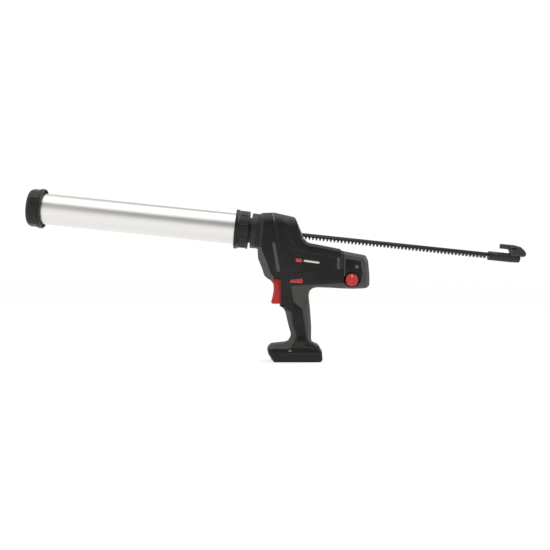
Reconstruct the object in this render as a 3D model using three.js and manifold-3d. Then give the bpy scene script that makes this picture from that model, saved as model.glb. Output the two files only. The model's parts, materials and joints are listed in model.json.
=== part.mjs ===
// Cordless caulking gun for 600 ml foil packs, in millimetres. +X points to the rear, +Z up and +Y to the
// right side.
// The gun stands on its battery foot. The barrel and the drive are drawn in a barrel frame: s runs along the
// barrel axis to the rear, y across, h above the axis. That frame is tilted nose-up about the Y axis.
import * as THREE from 'three';
import { mergeVertices } from 'three/addons/utils/BufferGeometryUtils.js';
import Module from 'manifold-3d';

const wasm = await Module();
wasm.setup();

// ---------------------------------------------------------------- driving dimensions
const BARREL_TILT = THREE.MathUtils.degToRad(6);
const AXIS_HEIGHT = 219.3; // barrel axis above the floor where s = 0
const GAP = 0.3; // between pieces that touch
const RUN = 0.4; // radial play of turning pieces
const WALL = 2.5; // moulded housing wall
const ROUND_STEPS = 28; // facets of a large round piece
const FINE_STEPS = 16; // facets of a small round piece
const FAR = 60; // further out to a side than any wall

const TUBE_LENGTH = 370;
const TUBE_RADIUS = 27;
const TUBE_WALL = 1.5;
const TUBE_REAR = -93.3; // s of the tube's rear end
const CAP_WALL = 5.8; // radial wall of the front cap
const CAP_FRONT = 5.7; // thickness of the cap's front wall
const CAP_LENGTH = 24.5;
const CAP_FLANGE = 6.5; // length of the wider flange at the cap's rear
const CAP_FLANGE_STEP = 1.7; // how far the flange stands proud
const NOZZLE_MOUTH_RADIUS = 12;

const NUT_FRONT = -108.8;
const NUT_REAR = -84.4;
const NUT_RADIUS = TUBE_RADIUS + 5.85;
const NUT_LIP = 3.7; // thickness of the nut's rear lip
const SPIGOT_RADIUS = 22; // where the nut's lip turns on the neck
const NECK_RADIUS = TUBE_RADIUS + 3.7;
const NECK_FRONT = -80.4;
const NOSE_FACE = -66; // s of the housing's front face
const NECK_TAIL = -55;
const NECK_TAIL_RADIUS = 24;
const NECK_BORE = 10.3;

const RACK_MODULE = 2;
const PRESSURE_ANGLE = THREE.MathUtils.degToRad(20);
const BACKLASH = 0.5; // tooth thinning at the pitch line, as arc length
const RACK_WIDTH = 10;
const RACK_TOP = 5;
const RACK_TIP = -5.5;
const BUSH_WALL = 2.5; // rear rod bush, beside the rack
const BUSH_LENGTH = 7.7;
const BUSH_FRONT_LENGTH = 12;
const PLAIN_FRONT = 19; // untoothed length behind the piston
const STROKE = TUBE_LENGTH - 50;
const ROD_FRONT = -97;
const ROD_EXIT = 13.8; // s where the rod leaves the housing
const SLEEVE_FRONT = ROD_EXIT + 2 + STROKE;
const SLEEVE_LENGTH = 56;
const SLEEVE_WALL = 0.405; // at the corners of the rod's socket, where it is thinnest
const SOCKET_DEPTH = 25;
const HANDLE_PIN_RADIUS = 1.5;
const HANDLE_PIN_H = 1.8;
const HOOK_WIRE_RADIUS = 4.2;
const HOOK_BEND_RADIUS = 9.25;
const HOOK_ARM_LENGTH = 31;

const PISTON_THICKNESS = 7;
const PISTON_PLAY = 0.7;
const SEAL_PLAY = 0.35;
const SEAL_DEPTH = 3; // of the groove in the piston's edge
const PISTON_SCREW_RADIUS = 3;
const PISTON_SCREW_HEAD = 5;
const PISTON_SCREW_REACH = 16.5; // into the rod

const AXLE_S = -25; // both cross axles
const AXLE_RADIUS = 4;
const MOTOR_H = -49.9; // height of the motor axis in the barrel frame
const PINION_TEETH = 10;
const PINION_OVERHANG = 1; // how far the drive pinion stands out on each side of the rack
const WHEEL_TEETH = 36;
const SMALL_TEETH = 12;
const BEVEL_WHEEL_TEETH = 20;
const BEVEL_PINION_TEETH = 10;
const BEVEL_MODULE = 1.4;
const SPUR_WIDTH = 6;
const SPUR_PLAY = 0.5; // between the spur wheel and the bush beside it
const PLATE_CLEARANCE = 3; // between the spur wheel and the right gear plate
const PLATE_THICKNESS = 3;
const POST_RADIUS = 3;
const POST_PLACES = [
  [-46, 13.5],
  [-44, -56.5],
];
const BEARING_RADIUS = 8;
const BEARING_WIDTH = 5;
const BEARING_PROUD = 1; // how far a bearing stands out on the inside of its plate
const BEVEL_SHAFT_RADIUS = 3;
const BRACKET_FRONT = -6.5;
const BRACKET_THICKNESS = 4;

const GEARBOX_RADIUS = 20;
const GEARBOX_WALL = 2;
const GEARBOX_FRONT = 2;
const GEARBOX_REAR = 44;
const PLANET_MODULE = 0.85;
const SUN_TEETH = 12;
const PLANET_TEETH = 12;
const RING_TEETH = SUN_TEETH + 2 * PLANET_TEETH;
const PLANETS = 3;
const PLANET_PIN_RADIUS = 1.5;
const RING_WIDTH = 12;
const MOTOR_RADIUS = 19;
const MOTOR_FRONT = 46;
const MOTOR_REAR = 88;
const MOTOR_WALL = 1.8;
const SHAFT_RADIUS = 2.4;
const SHAFT_TIP_RADIUS = 1.6;

const NOSE_HALF = 32.5;
const NOSE_TOP = 35.2; // h of the nose's flat top
const NOSE_CORNER = 26;
const NOSE_TAPER = 9; // how much narrower the nose is at its foot
const ARM_HALF = 30;
const ARM_BEVEL = 10;
const GRIP_HALF = 18;
const GRIP_BEVEL = 8;
const BASE_HALF = 32;
const BASE_BEVEL = 2.5;
const CAP_SEAM = 80.5; // x where the rear cap meets the housing

const SLOT_ROOF = 14; // battery slot
const SLOT_FRONT = -60;
const SLOT_REAR = 34;
const SLOT_HALF = 20;
const RAIL_TOP = 4;
const RAIL_HALF = 26;
const RAIL_GROOVE_TOP = 10;

const TRIGGER_HALF = 9;
const TRIGGER_TRAVEL = 6.5;
const LOCK_HALF = 24.5;
const LOCK_PROUD = 1.5; // how far the lock button stands out on the left at rest
const DIAL_X = 93.5;
const DIAL_Z = 141.4;
const DIAL_RADIUS = 10.7;
const DIAL_PROUD = 2.5;

const SCREW_SHANK = 1.6;
const SCREW_HEAD = 3.2;
const SCREW_SEAT_Y = 8;
const BOSS_RADIUS = 5.2;

// ---------------------------------------------------------------- values worked out from them
const TUBE_BORE = TUBE_RADIUS - TUBE_WALL;
const SLEEVE_RADIUS = Math.hypot(RACK_WIDTH / 2 + GAP, RACK_TOP + GAP) + SLEEVE_WALL;
const BUSH_REAR = 5.2 - 1.2 * WALL; // clear of the housing's sloping rear wall
const PINION_WIDTH = RACK_WIDTH + 2 * PINION_OVERHANG;
const SPUR_Y = RACK_WIDTH / 2 + BUSH_WALL + SPUR_PLAY; // inner face of the spur wheel
const PLATE_Y = SPUR_Y + SPUR_WIDTH + PLATE_CLEARANCE; // inner face of the gear plates
const TUBE_FRONT = TUBE_REAR - TUBE_LENGTH;
const CAP_FACE = TUBE_FRONT - GAP - CAP_FRONT;
const RACK_PITCH = Math.PI * RACK_MODULE;
const RACK_PITCH_H = RACK_TIP + RACK_MODULE;
const RACK_ROOT_H = RACK_PITCH_H + 1.25 * RACK_MODULE;
const PINION_RADIUS = (PINION_TEETH * RACK_MODULE) / 2;
const UPPER_AXLE_H = RACK_PITCH_H - PINION_RADIUS - 0.2;
const SPUR_CENTRES = UPPER_AXLE_H - MOTOR_H;
const SPUR_MODULE = (2 * (SPUR_CENTRES - 0.2)) / (WHEEL_TEETH + SMALL_TEETH);
const PLANET_ORBIT = ((SUN_TEETH + PLANET_TEETH) * PLANET_MODULE) / 2;
const BEVEL_CONE = (BEVEL_PINION_TEETH * BEVEL_MODULE) / 2; // apex to the wheel's pitch plane
const BEVEL_REACH = (BEVEL_WHEEL_TEETH * BEVEL_MODULE) / 2; // apex to the pinion's pitch plane

// ---------------------------------------------------------------- frames
const root = new THREE.Group();
const barrel = new THREE.Group();
barrel.position.z = AXIS_HEIGHT;
barrel.rotation.y = BARREL_TILT;
barrel.updateMatrix();
root.add(barrel);
const drive = new THREE.Group(); // motor axis
drive.position.z = MOTOR_H;
barrel.add(drive);

const BARREL_MATRIX = barrel.matrix.clone();
const ALONG_X = new THREE.Matrix4().makeRotationZ(-Math.PI / 2); // a lathe's Y axis to X
const SECTION_TO_X = new THREE.Matrix4().makeBasis(
  new THREE.Vector3(0, 1, 0),
  new THREE.Vector3(0, 0, 1),
  new THREE.Vector3(1, 0, 0),
);

// ---------------------------------------------------------------- solids
function closed(geometry) {
  const bare = geometry.index ? geometry : geometry.clone();
  bare.deleteAttribute('normal');
  bare.deleteAttribute('uv');
  return mergeVertices(bare, 1e-4);
}

function toManifold(geometry, matrix) {
  const merged = closed(geometry);
  if (matrix) merged.applyMatrix4(matrix);
  const mesh = new wasm.Mesh({
    numProp: 3,
    vertProperties: Float32Array.from(merged.attributes.position.array),
    triVerts: Uint32Array.from(merged.index.array),
  });
  const solid = new wasm.Manifold(mesh);
  if (solid.volume() > 0) return solid;
  const flipped = Uint32Array.from(merged.index.array);
  for (let i = 0; i < flipped.length; i += 3) {
    [flipped[i], flipped[i + 1]] = [flipped[i + 1], flipped[i]];
  }
  mesh.triVerts = flipped;
  return new wasm.Manifold(mesh);
}

function toGeometry(solid) {
  const mesh = solid.getMesh();
  const geometry = new THREE.BufferGeometry();
  geometry.setAttribute('position', new THREE.BufferAttribute(Float32Array.from(mesh.vertProperties), 3));
  geometry.setIndex(new THREE.BufferAttribute(Uint32Array.from(mesh.triVerts), 1));
  geometry.computeVertexNormals();
  return geometry;
}

const join = (solids) => solids.reduce((sum, next) => sum.add(next));
const cut = (solid, tools) => tools.reduce((rest, tool) => rest.subtract(tool), solid);

function polygon(points, holes = []) {
  const shape = new THREE.Shape(points.map(([x, y]) => new THREE.Vector2(x, y)));
  shape.holes = holes.map((hole) => new THREE.Path(hole.map(([x, y]) => new THREE.Vector2(x, y))));
  return shape;
}

function circlePoints(radius, steps, [x, y] = [0, 0], phase = 0) {
  return Array.from({ length: steps }, (_, i) => {
    const angle = phase + (2 * Math.PI * i) / steps;
    return [x + radius * Math.cos(angle), y + radius * Math.sin(angle)];
  });
}

// A polygon in x and z, extruded across the gun from y0 to y1.
function acrossY(shape, y0, y1) {
  const geometry = new THREE.ExtrudeGeometry(shape, { depth: y1 - y0, bevelEnabled: false });
  geometry.rotateX(Math.PI / 2);
  return geometry.translate(0, y1, 0);
}

// The same with both outer edges rounded over, centred on y = 0.
function roundedAcrossY(points, half, bevel) {
  const geometry = new THREE.ExtrudeGeometry(polygon(points), {
    depth: 2 * (half - bevel),
    bevelThickness: bevel,
    bevelSize: bevel,
    bevelOffset: -bevel,
    bevelSegments: 2,
  });
  geometry.rotateX(Math.PI / 2);
  return geometry.translate(0, half - bevel, 0);
}

// A polygon in y and h, extruded from s0 to s1.
function alongX(shape, s0, s1) {
  const geometry = new THREE.ExtrudeGeometry(shape, { depth: s1 - s0, bevelEnabled: false });
  geometry.applyMatrix4(SECTION_TO_X);
  return geometry.translate(s0, 0, 0);
}

// A closed profile of [radius, position] turned about the X axis.
function turned(profile, steps = ROUND_STEPS) {
  const points = profile.map(([radius, along]) => new THREE.Vector2(radius, along));
  const onAxis = profile[0][0] === 0 && profile[profile.length - 1][0] === 0;
  if (!onAxis) points.push(points[0].clone());
  return new THREE.LatheGeometry(points, steps).applyMatrix4(ALONG_X);
}

function rod(radius, s0, s1, steps = FINE_STEPS) {
  return turned([[0, s0], [radius, s0], [radius, s1], [0, s1]], steps);
}

function crossRod(radius, x, z, y0, y1, steps = FINE_STEPS) {
  return acrossY(polygon(circlePoints(radius, steps, [x, z])), y0, y1);
}

function block(x0, x1, y0, y1, z0, z1) {
  const geometry = new THREE.BoxGeometry(x1 - x0, y1 - y0, z1 - z0);
  return geometry.translate((x0 + x1) / 2, (y0 + y1) / 2, (z0 + z1) / 2);
}

// Moves every side of an outline inwards by a distance.
function inset(points, distance) {
  const count = points.length;
  const area = points.reduce((sum, [x, y], i) => {
    const [nx, ny] = points[(i + 1) % count];
    return sum + x * ny - nx * y;
  }, 0);
  const inward = area > 0 ? distance : -distance;
  return points.map((point, i) => {
    const before = new THREE.Vector2(...points[(i + count - 1) % count]);
    const here = new THREE.Vector2(...point);
    const after = new THREE.Vector2(...points[(i + 1) % count]);
    const first = here.clone().sub(before).normalize();
    const second = after.sub(here).normalize();
    const normals = [first, second].map((side) => new THREE.Vector2(-side.y, side.x));
    const bisector = normals[0].clone().add(normals[1]).normalize();
    const reach = inward / bisector.dot(normals[0]);
    return [here.x + bisector.x * reach, here.y + bisector.y * reach];
  });
}

// ---------------------------------------------------------------- gears
const involute = (angle) => Math.tan(angle) - angle;

// Outline of a spur gear with a tooth centred on phase. A curved flank has a point at the pitch line too.
function gearPoints({ teeth, module, phase, backlash = BACKLASH, addendum = 1, dedendum = 1.25, curved }) {
  const pitch = (teeth * module) / 2;
  const base = pitch * Math.cos(PRESSURE_ANGLE);
  const halfAtPitch = Math.PI / (2 * teeth) - backlash / (2 * pitch);
  const halfAt = (radius) => {
    const angle = Math.acos(Math.min(1, base / Math.max(radius, base)));
    return halfAtPitch + involute(PRESSURE_ANGLE) - involute(angle);
  };
  const root = pitch - dedendum * module;
  const tip = pitch + addendum * module;
  const undercut = root < base ? 0.75 : 1; // slimmer foot where the flank starts inside the base circle
  const flank = [[root, halfAt(root) * undercut], [tip, halfAt(tip)]];
  if (curved) flank.splice(1, 0, [pitch, halfAt(pitch)]);
  const points = [];
  for (let i = 0; i < teeth; i += 1) {
    const centre = phase + (2 * Math.PI * i) / teeth;
    for (const [radius, half] of flank) points.push([radius, centre - half]);
    for (const [radius, half] of [...flank].reverse()) points.push([radius, centre + half]);
  }
  return points.map(([radius, angle]) => [radius * Math.cos(angle), radius * Math.sin(angle)]);
}

// Outline of a bevel gear at a distance from the cone's apex, with radii from its cone angles.
function bevelPoints({ teeth, mate, phase, distance }) {
  const cone = Math.atan2(teeth, mate);
  const length = (Math.hypot(teeth, mate) * BEVEL_MODULE) / 2;
  const tip = distance * Math.tan(cone + Math.atan(BEVEL_MODULE / length));
  const root = distance * Math.tan(cone - Math.atan((1.3 * BEVEL_MODULE) / length));
  const half = Math.PI / (2 * teeth);
  const play = (1.5 * BACKLASH) / (teeth * BEVEL_MODULE);
  const lean = (2 * Math.tan(PRESSURE_ANGLE)) / teeth;
  const tipHalf = half - play - lean;
  const rootHalf = half - play + lean * 0.4;
  const points = [];
  for (let i = 0; i < teeth; i += 1) {
    const centre = phase + (2 * Math.PI * i) / teeth;
    points.push([root, centre - rootHalf], [tip, centre - tipHalf]);
    points.push([tip, centre + tipHalf], [root, centre + rootHalf]);
  }
  return points.map(([radius, angle]) => [radius * Math.cos(angle), radius * Math.sin(angle)]);
}

// Teeth that all run to the apex at the origin: an extrusion along Z, shrunk in step with its distance.
function bevelTeeth(settings, from, to) {
  const shape = polygon(bevelPoints({ ...settings, distance: to }));
  const geometry = new THREE.ExtrudeGeometry(shape, { depth: to - from, bevelEnabled: false });
  geometry.translate(0, 0, from);
  const position = geometry.attributes.position;
  for (let i = 0; i < position.count; i += 1) {
    const share = position.getZ(i) / to;
    position.setX(i, position.getX(i) * share);
    position.setY(i, position.getY(i) * share);
  }
  return geometry;
}

// ---------------------------------------------------------------- materials
function material(color, roughness, metalness = 0) {
  return new THREE.MeshStandardMaterial({ color, roughness, metalness });
}
const aluminium = material(0xdcdcda, 0.35, 0.9);
const blackPlastic = material(0x201f1e, 0.45);
const greyRubber = material(0x585754, 0.8);
const redPlastic = material(0xc02a28, 0.35);
const darkSteel = material(0x2f2d2c, 0.4, 0.8);
const brightSteel = material(0xa8a8a6, 0.3, 1);
const neckMetal = material(0x3c3c3a, 0.5, 0.5);
const brass = material(0xb08d4a, 0.4, 0.9);
const whitePlastic = material(0xd8d8d2, 0.5);
const boardGreen = material(0x1f5a35, 0.6);
const lensPlastic = material(0xc8c8c0, 0.2);

function add(parent, name, geometry, look) {
  const bare = closed(geometry);
  bare.computeVertexNormals();
  const mesh = new THREE.Mesh(bare, look);
  mesh.name = name;
  parent.add(mesh);
  return mesh;
}

// ---------------------------------------------------------------- barrel
function buildBarrel() {
  const tube = [
    [TUBE_BORE, TUBE_FRONT],
    [TUBE_RADIUS, TUBE_FRONT],
    [TUBE_RADIUS, TUBE_REAR],
    [TUBE_BORE, TUBE_REAR],
  ];
  add(barrel, 'barrel_tube', turned(tube), aluminium);

  const bore = TUBE_RADIUS + RUN;
  const capRadius = TUBE_RADIUS + CAP_WALL;
  const capRear = CAP_FACE + CAP_LENGTH;
  const cap = [
    [NOZZLE_MOUTH_RADIUS, CAP_FACE],
    [capRadius - 2.5, CAP_FACE],
    [capRadius - 0.7, CAP_FACE + 0.7],
    [capRadius, CAP_FACE + 2.5],
    [capRadius, capRear - CAP_FLANGE],
    [capRadius + CAP_FLANGE_STEP, capRear - CAP_FLANGE],
    [capRadius + CAP_FLANGE_STEP, capRear],
    [bore, capRear],
    [bore, CAP_FACE + CAP_FRONT],
    [NOZZLE_MOUTH_RADIUS, CAP_FACE + CAP_FRONT],
  ];
  add(barrel, 'front_cap', turned(cap), blackPlastic);

  const nut = [
    [bore, NUT_FRONT],
    [NUT_RADIUS + 1.4, NUT_FRONT],
    [NUT_RADIUS + 1.4, NUT_FRONT + 6.8],
    [NUT_RADIUS, NUT_FRONT + 6.8],
    [NUT_RADIUS, NUT_REAR],
    [SPIGOT_RADIUS + RUN, NUT_REAR],
    [SPIGOT_RADIUS + RUN, NUT_REAR - NUT_LIP],
    [bore, NUT_REAR - NUT_LIP],
  ];
  add(barrel, 'rear_nut', turned(nut), blackPlastic);

  const lipFront = NUT_REAR - NUT_LIP - RUN;
  const neck = [
    [NECK_BORE, TUBE_REAR + GAP],
    [TUBE_RADIUS - GAP, TUBE_REAR + GAP],
    [TUBE_RADIUS - GAP, lipFront],
    [SPIGOT_RADIUS, lipFront],
    [SPIGOT_RADIUS, NECK_FRONT],
    [NECK_RADIUS, NECK_FRONT],
    [NECK_RADIUS, NOSE_FACE - GAP],
    [NECK_TAIL_RADIUS, NOSE_FACE - GAP],
    [NECK_TAIL_RADIUS, NECK_TAIL],
    [NECK_BORE, NECK_TAIL],
  ];
  add(barrel, 'barrel_neck', turned(neck), neckMetal);
}

function rectangle(half, low, high) {
  return [
    [-half, low],
    [half, low],
    [half, high],
    [-half, high],
  ];
}

function buildBushes() {
  const window = rectangle(RACK_WIDTH / 2 + GAP, RACK_TIP - GAP, RACK_TOP + GAP);
  const round = circlePoints(NECK_BORE - GAP, FINE_STEPS + 6);
  const front = alongX(polygon(round, [window]), NECK_FRONT, NECK_FRONT + BUSH_FRONT_LENGTH);
  add(barrel, 'rod_bush_front', front, whitePlastic);
  const outer = rectangle(RACK_WIDTH / 2 + BUSH_WALL, RACK_TIP - BUSH_WALL - 1, RACK_TOP + BUSH_WALL + 1);
  const rear = alongX(polygon(outer, [window]), BUSH_REAR - BUSH_LENGTH, BUSH_REAR);
  add(barrel, 'rod_bush_rear', rear, blackPlastic);
}

// ---------------------------------------------------------------- push rod
function rackPoints() {
  const half = RACK_PITCH / 4 - BACKLASH / 2;
  const slope = Math.tan(PRESSURE_ANGLE) * RACK_MODULE;
  const tipHalf = half - slope;
  const rootHalf = half + slope * 1.25;
  const root = RACK_ROOT_H;
  const plainEnd = ROD_FRONT + PLAIN_FRONT;
  const first = Math.ceil((plainEnd + rootHalf + 0.5 - AXLE_S) / RACK_PITCH) + 0.5;
  const rear = SLEEVE_FRONT + SOCKET_DEPTH - GAP;
  const points = [
    [ROD_FRONT, RACK_TOP],
    [ROD_FRONT, RACK_TIP],
    [plainEnd, RACK_TIP],
    [plainEnd, root],
  ];
  for (let k = first; AXLE_S + k * RACK_PITCH + rootHalf < SLEEVE_FRONT - 1; k += 1) {
    const centre = AXLE_S + k * RACK_PITCH;
    points.push([centre - rootHalf, root], [centre - tipHalf, RACK_TIP]);
    points.push([centre + tipHalf, RACK_TIP], [centre + rootHalf, root]);
  }
  points.push([rear, root], [rear, RACK_TOP]);
  return points;
}

function hookCurve() {
  const bendS = SLEEVE_FRONT + SLEEVE_LENGTH - 3;
  const points = [new THREE.Vector3(bendS - 10, 0, 0)];
  const steps = 10;
  for (let i = 0; i <= steps; i += 1) {
    const angle = -Math.PI / 2 + (Math.PI * i) / steps;
    const s = bendS + HOOK_BEND_RADIUS * Math.cos(angle);
    points.push(new THREE.Vector3(s, 0, HOOK_BEND_RADIUS * (1 + Math.sin(angle))));
  }
  points.push(new THREE.Vector3(bendS - HOOK_ARM_LENGTH / 2, 0, 2 * HOOK_BEND_RADIUS));
  points.push(new THREE.Vector3(bendS - HOOK_ARM_LENGTH, 0, 2 * HOOK_BEND_RADIUS));
  return new THREE.CatmullRomCurve3(points, false, 'centripetal');
}

function buildRod() {
  const pinS = SLEEVE_FRONT + SOCKET_DEPTH / 2;
  const past = SLEEVE_RADIUS + 1;
  const pinHole = toManifold(crossRod(HANDLE_PIN_RADIUS + GAP, pinS, HANDLE_PIN_H, -past, past, 12));
  const bar = toManifold(acrossY(polygon(rackPoints()), -RACK_WIDTH / 2, RACK_WIDTH / 2));
  const holeEnd = ROD_FRONT + PISTON_SCREW_REACH + 1;
  const screwHole = toManifold(rod(PISTON_SCREW_RADIUS + GAP, ROD_FRONT - 1, holeEnd, 14));
  add(barrel, 'rack_rod', toGeometry(cut(bar, [screwHole, pinHole])), darkSteel);

  const sleeve = toManifold(rod(SLEEVE_RADIUS, SLEEVE_FRONT, SLEEVE_FRONT + SLEEVE_LENGTH, 24));
  const hook = new THREE.ExtrudeGeometry(polygon(circlePoints(HOOK_WIRE_RADIUS, 8)), {
    steps: 18,
    extrudePath: hookCurve(),
  });
  const socketShape = rectangle(RACK_WIDTH / 2 + GAP, RACK_ROOT_H - GAP, RACK_TOP + GAP);
  const socket = toManifold(alongX(polygon(socketShape), SLEEVE_FRONT - 1, SLEEVE_FRONT + SOCKET_DEPTH));
  const handle = cut(join([sleeve, toManifold(hook)]), [socket, pinHole]);
  add(barrel, 'rod_handle', toGeometry(handle), darkSteel);
  const pinEnd = SLEEVE_RADIUS - 0.4;
  const pin = crossRod(HANDLE_PIN_RADIUS, pinS, HANDLE_PIN_H, -pinEnd, pinEnd, 12);
  add(barrel, 'handle_pin', pin, brightSteel);
}

function buildPiston() {
  const plateRadius = TUBE_BORE - PISTON_PLAY;
  const groove = plateRadius - SEAL_DEPTH;
  const bore = PISTON_SCREW_RADIUS + GAP;
  const rear = ROD_FRONT - GAP;
  const front = rear - PISTON_THICKNESS;
  const plate = [
    [bore, front],
    [plateRadius - 2, front],
    [plateRadius, front + 2],
    [groove, rear - 4.6],
    [groove, rear - 2],
    [plateRadius, rear - 2],
    [plateRadius, rear],
    [bore, rear],
  ];
  add(barrel, 'piston_disc', turned(plate), blackPlastic);
  const ringInner = groove + GAP;
  const ringOuter = TUBE_BORE - SEAL_PLAY;
  const ring = [
    [ringInner, rear - 4.2],
    [ringOuter, rear - 4.2],
    [ringOuter, rear - 2.4],
    [ringInner, rear - 2.4],
  ];
  add(barrel, 'piston_seal', turned(ring), greyRubber);
  const seat = front - GAP;
  const tip = ROD_FRONT + PISTON_SCREW_REACH;
  const screw = [
    [0, seat - 3.5],
    [PISTON_SCREW_HEAD, seat - 3.5],
    [PISTON_SCREW_HEAD, seat],
    [PISTON_SCREW_RADIUS, seat],
    [PISTON_SCREW_RADIUS, tip],
    [0, tip],
  ];
  add(barrel, 'piston_screw', turned(screw, 14), brightSteel);
}

// ---------------------------------------------------------------- rack drive
function spurGear(settings, x, z, y0, y1) {
  const hole = circlePoints(AXLE_RADIUS + RUN, 14).reverse();
  const outline = gearPoints(settings);
  return acrossY(polygon(outline, [hole]), y0, y1).translate(x, 0, z);
}

function plateOutline() {
  const front = NECK_TAIL + GAP;
  return [
    [front, 18],
    [front, -28],
    [-48, -62],
    [-1, -62],
    [-1, 8],
    [-8, 18],
  ];
}

function buildFrame() {
  const seats = [UPPER_AXLE_H, MOTOR_H].map((h) =>
    circlePoints(BEARING_RADIUS + GAP, FINE_STEPS, [AXLE_S, h]).reverse(),
  );
  const shape = polygon(plateOutline(), seats);
  for (const [name, y] of [['gear_plate_left', -PLATE_Y - PLATE_THICKNESS], ['gear_plate_right', PLATE_Y]]) {
    add(barrel, name, acrossY(shape, y, y + PLATE_THICKNESS), brightSteel);
  }
  const postY = PLATE_Y - GAP;
  POST_PLACES.forEach(([s, h], i) => {
    add(barrel, `plate_post_${i + 1}`, crossRod(POST_RADIUS, s, h, -postY, postY, 12), brightSteel);
  });
  const hole = circlePoints(AXLE_RADIUS + RUN, 14).reverse();
  const race = polygon(circlePoints(BEARING_RADIUS, FINE_STEPS), [hole]);
  const inner = PLATE_Y - BEARING_PROUD;
  let index = 1;
  for (const h of [UPPER_AXLE_H, MOTOR_H]) {
    for (const side of [-1, 1]) {
      const y0 = side > 0 ? inner : -inner - BEARING_WIDTH;
      const bearing = acrossY(race, y0, y0 + BEARING_WIDTH).translate(AXLE_S, 0, h);
      add(barrel, `axle_bearing_${index}`, bearing, brightSteel);
      index += 1;
    }
  }
}

function buildSpurs() {
  const axleY = PLATE_Y - BEARING_PROUD + BEARING_WIDTH + 0.5;
  const axle = (h) => crossRod(AXLE_RADIUS, AXLE_S, h, -axleY, axleY, 14);
  add(barrel, 'pinion_axle', axle(UPPER_AXLE_H), brightSteel);
  add(barrel, 'cross_axle', axle(MOTOR_H), brightSteel);
  const up = Math.PI / 2;
  const pinion = { teeth: PINION_TEETH, module: RACK_MODULE, phase: up, curved: true };
  const half = PINION_WIDTH / 2;
  add(barrel, 'drive_pinion', spurGear(pinion, AXLE_S, UPPER_AXLE_H, -half, half), darkSteel);
  const wheel = { teeth: WHEEL_TEETH, module: SPUR_MODULE, phase: -up };
  const wheelEnd = SPUR_Y + SPUR_WIDTH;
  add(barrel, 'spur_wheel', spurGear(wheel, AXLE_S, UPPER_AXLE_H, SPUR_Y, wheelEnd), brightSteel);
  const small = { teeth: SMALL_TEETH, module: SPUR_MODULE, phase: up + Math.PI / SMALL_TEETH };
  add(barrel, 'spur_pinion', spurGear(small, AXLE_S, MOTOR_H, SPUR_Y - 0.5, wheelEnd + 0.5), darkSteel);
}

function buildBevels() {
  const wheelTeeth = { teeth: BEVEL_WHEEL_TEETH, mate: BEVEL_PINION_TEETH, phase: 0 };
  const crown = toManifold(bevelTeeth(wheelTeeth, 0.55 * BEVEL_CONE, BEVEL_CONE + 3.2));
  const rim = BEVEL_REACH + 0.8;
  const trim = toManifold(new THREE.CylinderGeometry(rim, rim, 40, ROUND_STEPS).rotateX(Math.PI / 2));
  const back = new THREE.CylinderGeometry(rim, rim, 4, ROUND_STEPS).rotateX(Math.PI / 2);
  back.translate(0, 0, BEVEL_CONE + 4.9);
  const holeRadius = AXLE_RADIUS + RUN;
  const hole = new THREE.CylinderGeometry(holeRadius, holeRadius, 60, 14).rotateX(Math.PI / 2);
  const wheel = cut(join([crown.intersect(trim), toManifold(back)]), [toManifold(hole)]);
  // The wheel's cone axis, +Z as drawn, points to -Y: x stays, y turns to z.
  const wheelGeometry = toGeometry(wheel).applyMatrix4(new THREE.Matrix4().makeRotationX(Math.PI / 2));
  add(barrel, 'bevel_wheel', wheelGeometry.translate(AXLE_S, 0, MOTOR_H), brightSteel);

  const gapPhase = Math.PI + Math.PI / BEVEL_PINION_TEETH;
  const pinionTeeth = { teeth: BEVEL_PINION_TEETH, mate: BEVEL_WHEEL_TEETH, phase: gapPhase };
  const cone = bevelTeeth(pinionTeeth, 0.62 * BEVEL_REACH, BEVEL_REACH);
  cone.applyMatrix4(SECTION_TO_X).translate(AXLE_S, 0, 0);
  const shaft = rod(BEVEL_SHAFT_RADIUS, AXLE_S + BEVEL_REACH - 1, GEARBOX_FRONT + 7.5, 14);
  const collar = rod(5.4, AXLE_S + BEVEL_REACH - 0.01, AXLE_S + BEVEL_REACH + 3, 14);
  const pinion = join([toManifold(cone), toManifold(shaft), toManifold(collar)]);
  add(drive, 'bevel_pinion', toGeometry(pinion), darkSteel);

  const shaftHole = circlePoints(BEVEL_SHAFT_RADIUS + RUN, 14).reverse();
  const bracket = polygon(rectangle(PLATE_Y - GAP, -11, 11), [shaftHole]);
  const bracketRear = BRACKET_FRONT + BRACKET_THICKNESS;
  add(drive, 'shaft_bracket', alongX(bracket, BRACKET_FRONT, bracketRear), brightSteel);
}

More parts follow.
